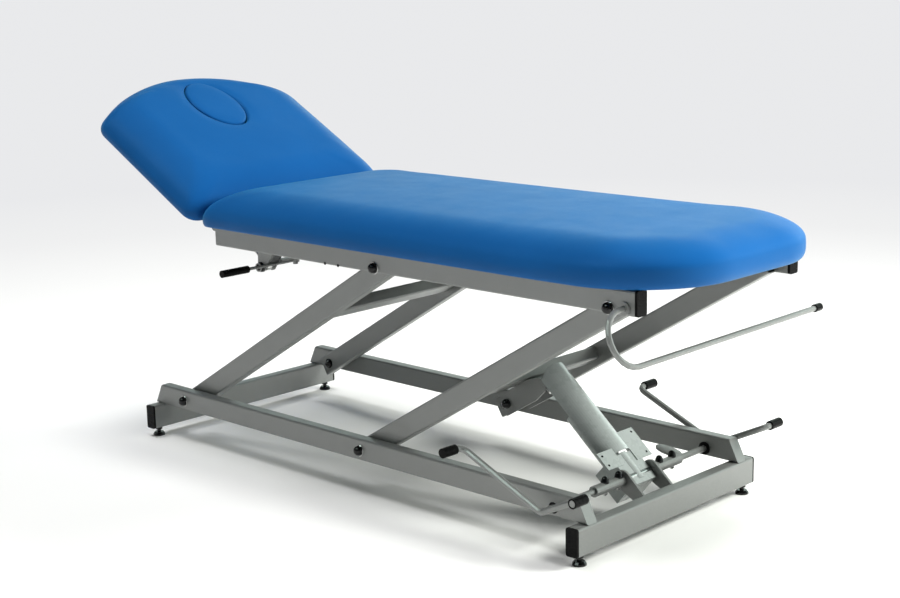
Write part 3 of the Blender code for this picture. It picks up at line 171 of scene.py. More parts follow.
# Colours, as linear red, green and blue
VINYL_DARK = (0.0068, 0.088, 0.298)
VINYL_LIGHT = (0.0078, 0.097, 0.324)
# painted shade: a deeper blue for the recessed valleys of the grain
VINYL_PAINTED_VALLEY_SHADE = (0.005, 0.070, 0.238)
VINYL_GLANCE = (0.72, 0.97, 1.0)
VINYL_SHEEN = (0.10, 0.62, 0.40)
SILVER_DARK = (0.200, 0.206, 0.200)
SILVER_MIDDLE = (0.243, 0.25, 0.243)
SILVER_FLAKE = (0.36, 0.37, 0.36)
SILVER_CLOUD = (0.17, 0.175, 0.17)
SILVER_DUST = (0.45, 0.44, 0.42)
ENAMEL_DARK = (0.345, 0.38, 0.37)
ENAMEL_LIGHT = (0.405, 0.44, 0.43)
ENAMEL_SMEAR = (0.30, 0.335, 0.325)
PLASTIC_DARK = (0.0035, 0.0035, 0.0036)
PLASTIC_LIGHT = (0.0055, 0.0055, 0.0055)
CAP_DARK = (0.003, 0.003, 0.0032)
CAP_LIGHT = (0.006, 0.006, 0.0062)
BLACK_DUST = (0.06, 0.06, 0.06)
STEEL_DARK = (0.50, 0.50, 0.49)
STEEL_LIGHT = (0.64, 0.64, 0.63)
FLOOR_PALE = (0.93, 0.93, 0.915)
BACKDROP = (0.81, 0.815, 0.83)
WALL_TINT = (0.86, 1.04, 0.97)

# Floor and light
FLOOR_SIZE = 160.0
FLOOR_FADE = (1.6, 5.0)      # distances between which the floor passes into the backdrop
FLOOR_GLOW = (0.04, 0.92)    # share of its plain colour near and far
WORLD_LIGHT = 0.30           # how much of the seen room lights the table
SKY_FROM = Vector((-0.12, 0.0, 1.0))
SKY_STRENGTH = 3.2
SKY_ANGLE = math.radians(40)
WINDOW_TOWARD = Vector((-0.25, -0.55, 0.80))
WINDOW_EDGE = (0.965, 0.975)  # cosines of the angle from its middle
WINDOW_STRENGTH = 7.0
FOOT_LIGHT_AT = (2.3, 1.5, 1.7)
FOOT_LIGHT_TARGET = (0.6, 0.0, 0.6)
FOOT_LIGHT_SIZE = 1.2
FOOT_LIGHT_WATTS = 110.0
FOOT_LIGHT_COLOUR = (1.0, 1.02, 0.97)


def deselect():
    if bpy.context.object and bpy.context.object.mode != "OBJECT":
        bpy.ops.object.mode_set(mode="OBJECT")
    bpy.ops.object.select_all(action="DESELECT")


def take(piece):
    """Makes one object the selected and active one."""
    deselect()
    piece.select_set(True)
    bpy.context.view_layer.objects.active = piece


def face_outward():
    """Turns all faces of the piece being edited outward and ends the editing."""
    bpy.ops.mesh.select_all(action="SELECT")
    bpy.ops.mesh.normals_make_consistent(inside=False)
    bpy.ops.object.mode_set(mode="OBJECT")


# Shader node groups

def new_group(name, inputs, outputs):
    group = bpy.data.node_groups.new(name, "ShaderNodeTree")
    for label, kind, value in inputs:
        socket = group.interface.new_socket(label, in_out="INPUT", socket_type=kind)
        if value is not None:
            socket.default_value = value
    for label, kind in outputs:
        group.interface.new_socket(label, in_out="OUTPUT", socket_type=kind)
    return group, group.nodes.new("NodeGroupInput"), group.nodes.new("NodeGroupOutput")


def math_node(tree, operation, first, second, clamp=False):
    node = tree.nodes.new("ShaderNodeMath")
    node.operation = operation
    node.use_clamp = clamp
    for socket, value in zip(node.inputs, (first, second)):
        if isinstance(value, (int, float)):
            socket.default_value = value
        else:
            tree.links.new(value, socket)
    return node.outputs[0]


def spread_node(tree, value, low, high, to_low, to_high):
    node = tree.nodes.new("ShaderNodeMapRange")
    tree.links.new(value, node.inputs["Value"])
    for label, number in (("From Min", low), ("From Max", high), ("To Min", to_low), ("To Max", to_high)):
        node.inputs[label].default_value = number
    return node.outputs["Result"]


def noise_node(tree, vector, scale, detail=3.0, rough=0.5):
    node = tree.nodes.new("ShaderNodeTexNoise")
    tree.links.new(vector, node.inputs["Vector"])
    if isinstance(scale, (int, float)):
        node.inputs["Scale"].default_value = scale
    else:
        tree.links.new(scale, node.inputs["Scale"])
    node.inputs["Detail"].default_value = detail
    node.inputs["Roughness"].default_value = rough
    return node.outputs["Fac"]


def vinyl_grain_group():
    """Small pressed cells with soft valleys between them, and slow unevenness of the foam below."""
    group, start, end = new_group("vinyl_grain",
                                  [("Vector", "NodeSocketVector", None), ("Cells", "NodeSocketFloat", 620.0),
                                   ("Softness", "NodeSocketFloat", 9.0)],
                                  [("Height", "NodeSocketFloat"), ("Valley", "NodeSocketFloat"),
                                   ("Slow", "NodeSocketFloat")])
    cells = group.nodes.new("ShaderNodeTexVoronoi")
    cells.feature = "DISTANCE_TO_EDGE"
    group.links.new(start.outputs["Vector"], cells.inputs["Vector"])
    group.links.new(start.outputs["Cells"], cells.inputs["Scale"])
    valley = spread_node(group, cells.outputs["Distance"], 0.0, 0.16, 1.0, 0.0)
    slow = noise_node(group, start.outputs["Vector"], start.outputs["Softness"], 2.0)
    fine = noise_node(group, start.outputs["Vector"], 1900.0, 2.0)
    height = math_node(group, "SUBTRACT", math_node(group, "MULTIPLY", fine, 0.25),
                       math_node(group, "MULTIPLY", valley, 0.5))
    group.links.new(height, end.inputs["Height"])
    group.links.new(valley, end.inputs["Valley"])
    group.links.new(slow, end.inputs["Slow"])
    return group


def paint_group():
    """Sprayed paint: bright flakes, orange peel, and slow cloudy shade."""
    group, start, end = new_group("sprayed_paint",
                                  [("Vector", "NodeSocketVector", None), ("Flakes", "NodeSocketFloat", 2600.0),
                                   ("Peel", "NodeSocketFloat", 420.0)],
                                  [("Flake", "NodeSocketFloat"), ("Height", "NodeSocketFloat"),
                                   ("Cloud", "NodeSocketFloat")])
    flake = noise_node(group, start.outputs["Vector"], start.outputs["Flakes"], 1.0, 0.4)
    flake = spread_node(group, flake, 0.38, 0.66, 0.0, 1.0)
    peel = noise_node(group, start.outputs["Vector"], start.outputs["Peel"], 2.0)
    cloud = noise_node(group, start.outputs["Vector"], 7.0, 3.0)
    group.links.new(flake, end.inputs["Flake"])
    group.links.new(peel, end.inputs["Height"])
    group.links.new(cloud, end.inputs["Cloud"])
    return group


def handling_group():
    """Faint smears from hands and cloths, and dust that settles on what faces up."""
    group, start, end = new_group("handling",
                                  [("Vector", "NodeSocketVector", None), ("Smear Scale", "NodeSocketFloat", 30.0)],
                                  [("Smear", "NodeSocketFloat"), ("Dust", "NodeSocketFloat")])
    smear = noise_node(group, start.outputs["Vector"], start.outputs["Smear Scale"], 5.0, 0.65)
    smear = spread_node(group, smear, 0.35, 0.75, 0.0, 1.0)
    surface = group.nodes.new("ShaderNodeNewGeometry")
    parts = group.nodes.new("ShaderNodeSeparateXYZ")
    group.links.new(surface.outputs["Normal"], parts.inputs["Vector"])
    up = spread_node(group, parts.outputs["Z"], 0.55, 1.0, 0.0, 1.0)
    specks = noise_node(group, start.outputs["Vector"], 240.0, 4.0, 0.7)
    dust = math_node(group, "MULTIPLY", up, spread_node(group, specks, 0.45, 0.8, 0.0, 1.0))
    group.links.new(smear, end.inputs["Smear"])
    group.links.new(dust, end.inputs["Dust"])
    return group


VINYL_GRAIN = vinyl_grain_group()
PAINT = paint_group()
HANDLING = handling_group()


# Materials

def new_material(name, roughness, metallic=0.0, coat=0.0, coat_roughness=0.05, specular=0.5):
    """An empty material with its shader and the object's own coordinates."""
    made = bpy.data.materials.new(name)
    made.use_nodes = True
    tree = made.node_tree
    shader = tree.nodes["Principled BSDF"]
    shader.inputs["Roughness"].default_value = roughness
    shader.inputs["Metallic"].default_value = metallic
    shader.inputs["Coat Weight"].default_value = coat
    shader.inputs["Coat Roughness"].default_value = coat_roughness
    shader.inputs["Specular IOR Level"].default_value = specular
    place = tree.nodes.new("ShaderNodeTexCoord")
    return made, tree, shader, place.outputs["Object"]


def use_group(tree, group, vector, **values):
    node = tree.nodes.new("ShaderNodeGroup")
    node.node_tree = group
    tree.links.new(vector, node.inputs["Vector"])
    for label, value in values.items():
        node.inputs[label.replace("_", " ")].default_value = value
    return node.outputs


def shades(tree, factor, *stops):
    """A colour ramp over a value, stops as (place, (red, green, blue))."""
    ramp = tree.nodes.new("ShaderNodeValToRGB")
    while len(ramp.color_ramp.elements) < len(stops):
        ramp.color_ramp.elements.new(0.5)
    for element, (place, colour) in zip(ramp.color_ramp.elements, stops):
        element.position = place
        element.color = (*colour, 1.0)
    tree.links.new(factor, ramp.inputs["Fac"])
    return ramp.outputs["Color"]


def mixed(tree, factor, first, second):
    node = tree.nodes.new("ShaderNodeMix")
    node.data_type = "RGBA"
    tree.links.new(factor, node.inputs["Factor"])
    for socket, value in ((node.inputs["A"], first), (node.inputs["B"], second)):
        if isinstance(value, tuple):
            socket.default_value = (*value, 1.0)
        else:
            tree.links.new(value, socket)
    return node.outputs["Result"]


def toned(tree, mask, share, colour, toward):
    """Draws a colour toward another where a mask is bright, by at most a share."""
    return mixed(tree, math_node(tree, "MULTIPLY", mask, share), colour, toward)


def smeared(tree, marks, low, high):
    """A roughness that goes from low to high with the smears."""
    return spread_node(tree, marks["Smear"], 0.0, 1.0, low, high)


def bumped(tree, shader, height, strength, distance):
    bump = tree.nodes.new("ShaderNodeBump")
    bump.inputs["Strength"].default_value = strength
    bump.inputs["Distance"].default_value = distance
    tree.links.new(height, bump.inputs["Height"])
    tree.links.new(bump.outputs["Normal"], shader.inputs["Normal"])


def blue_vinyl():
    made, tree, shader, place = new_material("blue_vinyl_cover", 0.42, specular=0.15)
    shader.inputs["Specular Tint"].default_value = (*VINYL_GLANCE, 1.0)
    shader.inputs["Sheen Weight"].default_value = 0.11
    shader.inputs["Sheen Roughness"].default_value = 0.5
    shader.inputs["Sheen Tint"].default_value = (*VINYL_SHEEN, 1.0)
    grain = use_group(tree, VINYL_GRAIN, place, Cells=620.0, Softness=6.0)
    marks = use_group(tree, HANDLING, place, Smear_Scale=14.0)
    colour = shades(tree, grain["Slow"], (0.3, VINYL_DARK), (0.7, VINYL_LIGHT))
    # the grain's valleys are painted darker by up to a third, as painted shade in the recesses
    colour = toned(tree, grain["Valley"], 0.35, colour, VINYL_PAINTED_VALLEY_SHADE)
    tree.links.new(colour, shader.inputs["Base Color"])
    rough = math_node(tree, "ADD", smeared(tree, marks, 0.42, 0.50), math_node(tree, "MULTIPLY", grain["Valley"], 0.10))
    tree.links.new(rough, shader.inputs["Roughness"])
    bumped(tree, shader, grain["Height"], 0.18, 0.00025)
    return made


def silver_paint():
    made, tree, shader, place = new_material("silver_powder_paint", 0.42)
    paint = use_group(tree, PAINT, place, Flakes=2400.0, Peel=520.0)
    marks = use_group(tree, HANDLING, place, Smear_Scale=26.0)
    colour = shades(tree, paint["Flake"], (0.0, SILVER_DARK), (0.75, SILVER_MIDDLE), (1.0, SILVER_FLAKE))
    colour = toned(tree, paint["Cloud"], 0.10, colour, SILVER_CLOUD)
    colour = toned(tree, marks["Dust"], 0.10, colour, SILVER_DUST)
    tree.links.new(colour, shader.inputs["Base Color"])
    tree.links.new(spread_node(tree, paint["Flake"], 0.0, 1.0, 0.25, 0.55), shader.inputs["Metallic"])
    rough = math_node(tree, "ADD", smeared(tree, marks, 0.36, 0.46), math_node(tree, "MULTIPLY", marks["Dust"], 0.08))
    tree.links.new(rough, shader.inputs["Roughness"])
    bumped(tree, shader, paint["Height"], 0.10, 0.0004)
    return made


def jack_enamel():
    made, tree, shader, place = new_material("jack_grey_enamel", 0.3, coat=0.4, coat_roughness=0.1)
    paint = use_group(tree, PAINT, place, Flakes=900.0, Peel=190.0)
    marks = use_group(tree, HANDLING, place, Smear_Scale=40.0)
    colour = shades(tree, paint["Cloud"], (0.25, ENAMEL_DARK), (0.75, ENAMEL_LIGHT))
    colour = toned(tree, marks["Smear"], 0.12, colour, ENAMEL_SMEAR)
    tree.links.new(colour, shader.inputs["Base Color"])
    tree.links.new(smeared(tree, marks, 0.24, 0.36), shader.inputs["Roughness"])
    bumped(tree, shader, paint["Height"], 0.16, 0.0009)
    return made


def black_plastic():
    made, tree, shader, place = new_material("black_moulded_plastic", 0.4, specular=0.06)
    grain = use_group(tree, VINYL_GRAIN, place, Cells=1400.0, Softness=40.0)
    marks = use_group(tree, HANDLING, place, Smear_Scale=60.0)
    colour = shades(tree, grain["Slow"], (0.3, PLASTIC_DARK), (0.7, PLASTIC_LIGHT))
    colour = toned(tree, marks["Dust"], 0.06, colour, BLACK_DUST)
    tree.links.new(colour, shader.inputs["Base Color"])
    tree.links.new(smeared(tree, marks, 0.24, 0.38), shader.inputs["Roughness"])
    bumped(tree, shader, grain["Height"], 0.12, 0.0002)
    return made


def black_cap():
    made, tree, shader, place = new_material("black_gloss_cap", 0.16, specular=0.3)
    marks = use_group(tree, HANDLING, place, Smear_Scale=90.0)
    colour = shades(tree, marks["Smear"], (0.0, CAP_DARK), (1.0, CAP_LIGHT))
    colour = toned(tree, marks["Dust"], 0.04, colour, BLACK_DUST)
    tree.links.new(colour, shader.inputs["Base Color"])
    tree.links.new(smeared(tree, marks, 0.12, 0.24), shader.inputs["Roughness"])
    return made


def bright_steel():
    made, tree, shader, place = new_material("bright_steel", 0.22, metallic=1.0)
    stretch = tree.nodes.new("ShaderNodeMapping")
    stretch.inputs["Scale"].default_value = (1.0, 0.05, 1.0)
    tree.links.new(place, stretch.inputs["Vector"])
    lines = noise_node(tree, stretch.outputs["Vector"], 1500.0, 3.0, 0.6)
    marks = use_group(tree, HANDLING, place, Smear_Scale=50.0)
    tree.links.new(shades(tree, lines, (0.3, STEEL_DARK), (0.7, STEEL_LIGHT)), shader.inputs["Base Color"])
    tree.links.new(smeared(tree, marks, 0.16, 0.30), shader.inputs["Roughness"])
    bumped(tree, shader, lines, 0.05, 0.0002)
    return made


BLUE_VINYL = blue_vinyl()
SILVER = silver_paint()
ENAMEL = jack_enamel()
PLASTIC = black_plastic()
CAP = black_cap()
STEEL = bright_steel()
FINISHES = {"silver_powder_coat": SILVER, "jack_gloss_grey": ENAMEL, "polished_steel": STEEL, "black_steel": CAP,
            "black_bolt": CAP, "black_plastic": PLASTIC, "blue_vinyl": BLUE_VINYL}

for row in frame["record"]["subparts"]:
    node = frame["nodes"][row["node"]]
    for slot in node.material_slots:
        slot.material = FINISHES[row["material_slot"]]


def dress(piece, finish, body):
    """Gives a finished piece its material and its body."""
    piece.data.materials.clear()
    piece.data.materials.append(finish)
    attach(piece, body)
    return piece


# Upholstered pads

def arc(centre, radius, start, stop, steps):
    angles = np.linspace(start, stop, steps + 1)
    return np.c_[centre[0] + radius * np.cos(angles), centre[1] + radius * np.sin(angles)]


def even_outline(points, inner, count):
    """Evenly spaced points of a closed line from y = 0, the matching points of the inner line, and the normals."""
    closed, within = np.vstack([points, points[:1]]), np.vstack([inner, inner[:1]])
    run = np.r_[0.0, np.cumsum(np.linalg.norm(np.diff(closed, axis=0), axis=1))]
    at = (np.linspace(0.0, run[-1], count, endpoint=False) - points[0][1]) % run[-1]
    line = np.c_[np.interp(at, run, closed[:, 0]), np.interp(at, run, closed[:, 1])]
    rim = np.c_[np.interp(at, run, within[:, 0]), np.interp(at, run, within[:, 1])]
    along = np.roll(line, -1, 0) - np.roll(line, 1, 0)
    normals = np.c_[along[:, 1], -along[:, 0]]
    return line, rim, normals / np.linalg.norm(normals, axis=1)[:, None]


def body_outline(inset, foot, head):
    """The body pad's outline, drawn in by an inset, with the radii of its foot and head corners."""
    half, q = PAD_WIDTH / 2 - inset, math.pi / 2
    foot_end, head_end = BODY_FOOT - inset, BODY_HEAD + inset
    return np.vstack([arc((foot_end - foot, half - foot), foot, 0, q, FOOT_STEPS),
                      arc((head_end + head, half - head), head, q, 2 * q, CORNER_STEPS),
                      arc((head_end + head, head - half), head, 2 * q, 3 * q, CORNER_STEPS),
                      arc((foot_end - foot, foot - half), foot, 3 * q, 4 * q, FOOT_STEPS)])


def head_outline(inset, far_inset, near, far):
    """The head pad's outline with its bowed far end, drawn in by insets, with the radii of its near and far corners."""
    half, q = PAD_WIDTH / 2, math.pi / 2
    bow = HEAD_LONG - HEAD_STRAIGHT
    radius = (half ** 2 + bow ** 2) / (2 * bow)
    centre = radius - HEAD_NEAR - HEAD_LONG
    half, radius, near_x = half - inset, radius - far_inset, -HEAD_NEAR - inset - near
    far_y = half - far
    far_x = centre - math.sqrt((radius - far) ** 2 - far_y ** 2)
    lean = math.atan2(far_y, centre - far_x)
    return np.vstack([arc((near_x, half - near), near, 0, q, CORNER_STEPS),
                      arc((far_x, far_y), far, q, math.pi - lean, CORNER_STEPS),
                      arc((centre, 0), radius, math.pi - lean, math.pi + lean, BOW_STEPS)[1:-1],
                      arc((far_x, -far_y), far, math.pi + lean, 3 * q, CORNER_STEPS),
                      arc((near_x, near - half), near, 3 * q, 4 * q, CORNER_STEPS)])


def pad_rings(outline, inner, thick, count, centre, hole, belly, tuck):
    """Closed rings of (x, y, height) over the top, round the rolled edge and under the pad.

    belly and tuck give the height of the widest place and how far the cover draws in below it, as pairs for
    the pad's head and foot ends.
    """
    line, rim, normals = even_outline(outline, inner, count)
    footward = np.clip((line[:, 0] - line[:, 0].max() + BODY_TURN) / BODY_TURN, 0, 1)
    footward = footward ** 2 * (3 - 2 * footward)
    belly = belly[0] + (belly[1] - belly[0]) * footward
    tuck = (tuck[0] + (tuck[1] - tuck[0]) * footward)[:, None]
    bearing = np.arctan2(line[:, 1] - centre[1], line[:, 0] - centre[0])
    if hole:
        mouth = np.c_[centre[0] + hole[0] * np.cos(bearing), centre[1] + hole[1] * np.sin(bearing)]
    else:
        spine = np.ptp(line[:, 0]) / 2 - np.ptp(line[:, 1]) / 2
        mouth = np.c_[centre[0] + np.clip(line[:, 0] - centre[0], -spine, spine), np.full(count, centre[1])]
    away = rim - mouth
    length = np.linalg.norm(away, axis=1)[:, None]
    middle = (line.max(0) + line.min(0)) / 2
    reach = np.ptp(rim, axis=0) / 2
    rings = []

    def top(points, part, drop=0.0):
        bulge = np.minimum((np.abs((points - middle) / reach) ** 4).sum(1), 1.0) ** 0.5
        rings.append(np.c_[points, thick - PAD_CROWN * (bulge + (1 - bulge) * part ** 3) - drop])

    if hole:
        for step in range(HOLE_RINGS):
            rings.append(np.c_[mouth, np.full(count, (thick - FACE_LIP) * step / HOLE_RINGS)])
        for angle in np.linspace(0, math.pi / 2, LIP_RINGS)[:-1]:
            top(mouth + away / length * FACE_LIP * (1 - math.cos(angle)), 0.0, FACE_LIP * (1 - math.sin(angle)))
    first = FACE_LIP / length if hole else PAD_CORE
    for part in np.linspace(0.0, 1.0, TOP_RINGS)[:-1]:
        top(mouth + away * (first + (1 - first) * part), part)
    rise = thick - belly - PAD_CROWN
    for angle in np.linspace(math.pi / 2, 0, ROLL_RINGS):
        rings.append(np.c_[line + (rim - line) * (1 - math.cos(angle)), belly + rise * math.sin(angle)])
    for inset, height in TUCK_RINGS:
        rings.append(np.c_[line - normals * tuck * inset, belly * height])
    under = line - normals * tuck
    last = 1.0 if hole else 1.0 - PAD_CORE
    for part in np.linspace(0.0, 1.0, UNDER_RINGS)[1:-1]:
        rings.append(np.c_[under + (mouth - under) * part * last, np.zeros(count)])
    return rings


def cap_grid(ring, side, base, extra):
    """A patch of four-sided faces inside a closed ring: its inner points and its faces."""
    count = len(ring)
    half, length = count // 2, count // 2 - 2 * side
    points, number = [], {}
    corners = (ring[-side], ring[side], ring[half + side], ring[half - side])
    for i in range(2 * side + 1):
        for j in range(length + 1):
            ends = (i - side) % count, half + side - i
            flanks = (count - side - j) % count, side + j
            if j in (0, length):
                number[i, j] = base + ends[j > 0]
            elif i in (0, 2 * side):
                number[i, j] = base + flanks[i > 0]
            else:
                u, v = i / (2 * side), j / length
                number[i, j] = extra + len(points)
                points.append((1 - v) * ring[ends[0]] + v * ring[ends[1]]
                              + (1 - u) * ring[flanks[0]] + u * ring[flanks[1]]
                              - (1 - u) * (1 - v) * corners[0] - u * (1 - v) * corners[1]
                              - (1 - u) * v * corners[2] - u * v * corners[3])
    faces = [(number[i, j], number[i + 1, j], number[i + 1, j + 1], number[i, j + 1])
             for i in range(2 * side) for j in range(length)]
    return points, faces


def ring_mesh(name, rings, side):
    """Skins neighbouring rings; caps both ends with a grid, or with no side given closes the loop through a hole."""
    count = len(rings[0])
    points = list(np.vstack(rings))
    faces = []
    pairs = list(zip(range(len(rings)), range(1, len(rings))))
    if not side:
        pairs.append((len(rings) - 1, 0))
    for first, second in pairs:
        for index in range(count):
            following = (index + 1) % count
            faces.append((first * count + index, first * count + following,
                          second * count + following, second * count + index))
    for number in (0, len(rings) - 1) if side else ():
        inner, patch = cap_grid(rings[number], side, number * count, len(points))
        points += inner
        faces += patch
    mesh = bpy.data.meshes.new(name)
    mesh.from_pydata([tuple(point) for point in points], [], faces)
    piece = bpy.data.objects.new(name, mesh)
    bpy.context.scene.collection.objects.link(piece)
    take(piece)
    bpy.ops.object.mode_set(mode="EDIT")
    face_outward()
    return piece


def coordinates(piece):
    places = np.zeros(len(piece.data.vertices) * 3)
    piece.data.vertices.foreach_get("co", places)
    return places.reshape(-1, 3)


def set_coordinates(piece, places):
    piece.data.vertices.foreach_set("co", places.ravel())
    piece.data.update()


def stuff(piece, rings, count, held_height, swell, core):
    """Lets the foam press the cover out: cloth under pressure, held underneath, with a cap on the movement.

    The middle of the top, the ring named by core, moves as one.
    """
    places = coordinates(piece)
    normals = np.zeros(len(places) * 3)
    piece.data.vertices.foreach_get("normal", normals)
    loose = np.clip((places[:, 2] - held_height) / PAD_EASE, 0, 1)
    start = places - normals.reshape(-1, 3) * (STUFFING_START * swell * loose)[:, None]
    set_coordinates(piece, start)
    held = piece.vertex_groups.new(name="held")
    held.add([int(i) for i in np.nonzero(loose <= 0)[0]], 1.0, "REPLACE")
    take(piece)
    cloth = piece.modifiers.new("stuffing", "CLOTH")
    cloth.settings.quality = 5
    cloth.settings.mass = 0.3
    cloth.settings.use_pressure = True
    cloth.settings.uniform_pressure_force = STUFFING_PRESSURE
    cloth.settings.effector_weights.gravity = 0.0
    cloth.settings.vertex_group_mass = "held"
    cloth.collision_settings.use_collision = False
    cloth.point_cache.frame_start = 1
    cloth.point_cache.frame_end = STUFFING_FRAMES
    for number in range(1, STUFFING_FRAMES + 1):
        bpy.context.scene.frame_set(number)
    bpy.ops.object.modifier_apply(modifier="stuffing")
    moved = coordinates(piece) - start
    far = np.linalg.norm(moved, axis=1)[:, None]
    moved *= np.minimum(1.0, swell / np.maximum(far, 1e-9))
    ringed = moved[:rings * count].reshape(rings, count, 3)
    for _ in range(STUFFING_PASSES):
        ringed = (ringed * 2 + np.roll(ringed, 1, 1) + np.roll(ringed, -1, 1)) / 4
        ringed[1:-1] = (ringed[1:-1] * 2 + ringed[2:] + ringed[:-2]) / 4
    if core is not None:
        middle = ringed[abs(core - STUFFING_CORE)].mean(0)
        even = np.clip(np.abs(np.arange(rings) - core) / STUFFING_CORE, 0, 1)[:, None, None]
        ringed = ringed * even + middle * (1 - even)
        moved[rings * count:] = middle
    moved[:rings * count] = ringed.reshape(-1, 3)
    set_coordinates(piece, start + moved * loose[:, None])
    bpy.context.scene.frame_set(1)
    piece.vertex_groups.clear()


def finish_pad(piece, rings, count, matrix, held_height, swell, core=None):
    """Stuffs the pad, smooths and divides it once, and puts it in its place."""
    stuff(piece, rings, count, held_height, swell, core)
    take(piece)
    round_off = piece.modifiers.new("finer", "SUBSURF")
    round_off.levels = round_off.render_levels = 1
    bpy.ops.object.modifier_apply(modifier="finer")
    piece.data.transform(matrix)
    take(piece)
    bpy.ops.object.shade_smooth()
    return piece


def body_pad():
    middle = np.array([(BODY_FOOT + BODY_HEAD) / 2, 0.0])
    rings = pad_rings(body_outline(0.0, BODY_FOOT_RADIUS, BODY_HEAD_RADIUS), body_outline(PAD_ROLL, *BODY_TOP_RADII),
                      BODY_THICK, BODY_POINTS, middle, None, BODY_BELLY, BODY_TUCK)
    piece = ring_mesh("body_pad", rings, BODY_CAP)
    place = Matrix.Translation(UPPER_PIVOT + Vector((0, 0, BODY_BOTTOM)))
    finish_pad(piece, len(rings), BODY_POINTS, place, PAD_HELD, PAD_SWELL, 0)
    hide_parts("body_cushion")
    return dress(piece, BLUE_VINYL, "upper_frame")


def head_place(height):
    return Matrix.Translation(HEAD_HINGE) @ Matrix.Rotation(HEAD_TILT, 4, "Y") @ Matrix.Translation((0, 0, height))


def head_pad():
    hole = (FACE_LONG / 2, FACE_WIDE / 2)
    rings = pad_rings(head_outline(0.0, 0.0, HEAD_NEAR_RADIUS, HEAD_FAR_RADIUS),
                      head_outline(PAD_ROLL, HEAD_TOP_FAR, *HEAD_TOP_RADII),
                      HEAD_THICK, HEAD_POINTS, (-FACE_AT, FACE_SIDE), hole, HEAD_BELLY, HEAD_TUCK)
    piece = ring_mesh("head_pad", rings, None)
    finish_pad(piece, len(rings), HEAD_POINTS, head_place(HEAD_BOTTOM), PAD_HELD, PAD_SWELL)
    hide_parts("head_cushion")
    return dress(piece, BLUE_VINYL, "head_section")


def face_plug_pad():
    """The oval plug: straight sides, a rolled lip and a low crown."""
    count = PLUG_POINTS
    bearing = np.linspace(0, 2 * math.pi, count, endpoint=False)
    half = np.array([FACE_LONG / 2 - PLUG_SLACK, FACE_WIDE / 2 - PLUG_SLACK])
    edge = np.c_[half[0] * np.cos(bearing), half[1] * np.sin(bearing)]
    inward = -edge / np.linalg.norm(edge, axis=1)[:, None]
    top = HEAD_THICK - PLUG_SUNK
    side = top - FACE_LIP - PLUG_FOOT
    rings = [np.c_[edge * part, np.zeros(count)] for part in (PLUG_CORE, 0.65, 0.85, 0.97)]
    rings += [np.c_[edge, np.full(count, PLUG_FOOT + side * part)] for part in np.linspace(0, 1, 8)]
    for angle in np.linspace(0, math.pi / 2, 7)[1:]:
        rings.append(np.c_[edge + inward * FACE_LIP * (1 - math.cos(angle)),
                           np.full(count, top - FACE_LIP * (1 - math.sin(angle)))])
    inner = rings[-1][:, :2]
    for part in np.linspace(1.0, PLUG_CORE, 10)[1:]:
        rings.append(np.c_[inner * part, np.full(count, top + PLUG_CROWN * (1 - part ** 2))])
    piece = ring_mesh("face_plug_pad", rings, PLUG_CAP)
    place = head_place(HEAD_BOTTOM) @ Matrix.Translation((-FACE_AT, FACE_SIDE, 0))
    finish_pad(piece, len(rings), count, place, top - PLUG_FREE, PLUG_SWELL, len(rings) - 1)
    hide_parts("face_plug")
    return dress(piece, BLUE_VINYL, "face_plug")


def body_board():
    """The black-stained board that carries the body pad, seen from below."""
    length, width = BODY_FOOT - BODY_HEAD - 2 * BOARD_INSET, PAD_WIDTH - 2 * BOARD_INSET
    deselect()
    bpy.ops.mesh.primitive_plane_add(size=1.0)
    piece = bpy.context.object
    piece.name = "body_board"
    piece.data.transform(Matrix.Diagonal((length, width, 1.0, 1.0)))
    for end, radius in ((1, BODY_FOOT_RADIUS - BOARD_INSET), (-1, BODY_HEAD_RADIUS - BOARD_INSET)):
        for corner in piece.data.vertices:
            corner.select = corner.co.x * end > length / 2 - 1e-4
        bpy.ops.object.mode_set(mode="EDIT")
        bpy.ops.mesh.select_mode(type="VERT")
        bpy.ops.mesh.bevel(offset=radius, segments=BOARD_CORNER_STEPS, affect="VERTICES")
        bpy.ops.mesh.select_all(action="DESELECT")
        bpy.ops.object.mode_set(mode="OBJECT")
    bpy.ops.object.mode_set(mode="EDIT")
    bpy.ops.mesh.select_all(action="SELECT")
    bpy.ops.mesh.extrude_region_move(TRANSFORM_OT_translate={"value": (0, 0, BOARD_THICK)})
    face_outward()
    middle = Vector(((BODY_FOOT + BODY_HEAD) / 2, 0, BODY_BOTTOM - BOARD_PROUD))
    piece.data.transform(Matrix.Translation(UPPER_PIVOT + middle))
    return dress(piece, PLASTIC, "upper_frame")


body_pad()
head_pad()
face_plug_pad()
body_board()


# Small fittings

def place_piece(piece, at, axis):
    """Turns a piece made along +Z to an axis, moves it there and applies both."""
    turn = Vector((0, 0, 1)).rotation_difference(Vector(axis)).to_matrix().to_4x4()
    piece.matrix_world = Matrix.Translation(at) @ turn
    take(piece)
    bpy.ops.object.transform_apply(location=True, rotation=True, scale=True)
    bpy.ops.object.shade_smooth_by_angle(angle=SMOOTH_ANGLE)
    return piece


def start_disc(name, vertices, radius):
    """A flat disc, named, selected and open for editing."""
    deselect()
    bpy.ops.mesh.primitive_circle_add(vertices=vertices, radius=radius, fill_type="NGON")
    piece = bpy.context.object
    piece.name = name
    bpy.ops.object.mode_set(mode="EDIT")
    bpy.ops.mesh.select_all(action="SELECT")
    return piece


def raise_face(height, factor):
    """Extrudes the selected face upward and draws its new edge in or out."""
    bpy.ops.mesh.extrude_region_move(TRANSFORM_OT_translate={"value": (0, 0, height)})
    bpy.ops.transform.resize(value=(factor, factor, 1.0), center_override=(0, 0, 0))


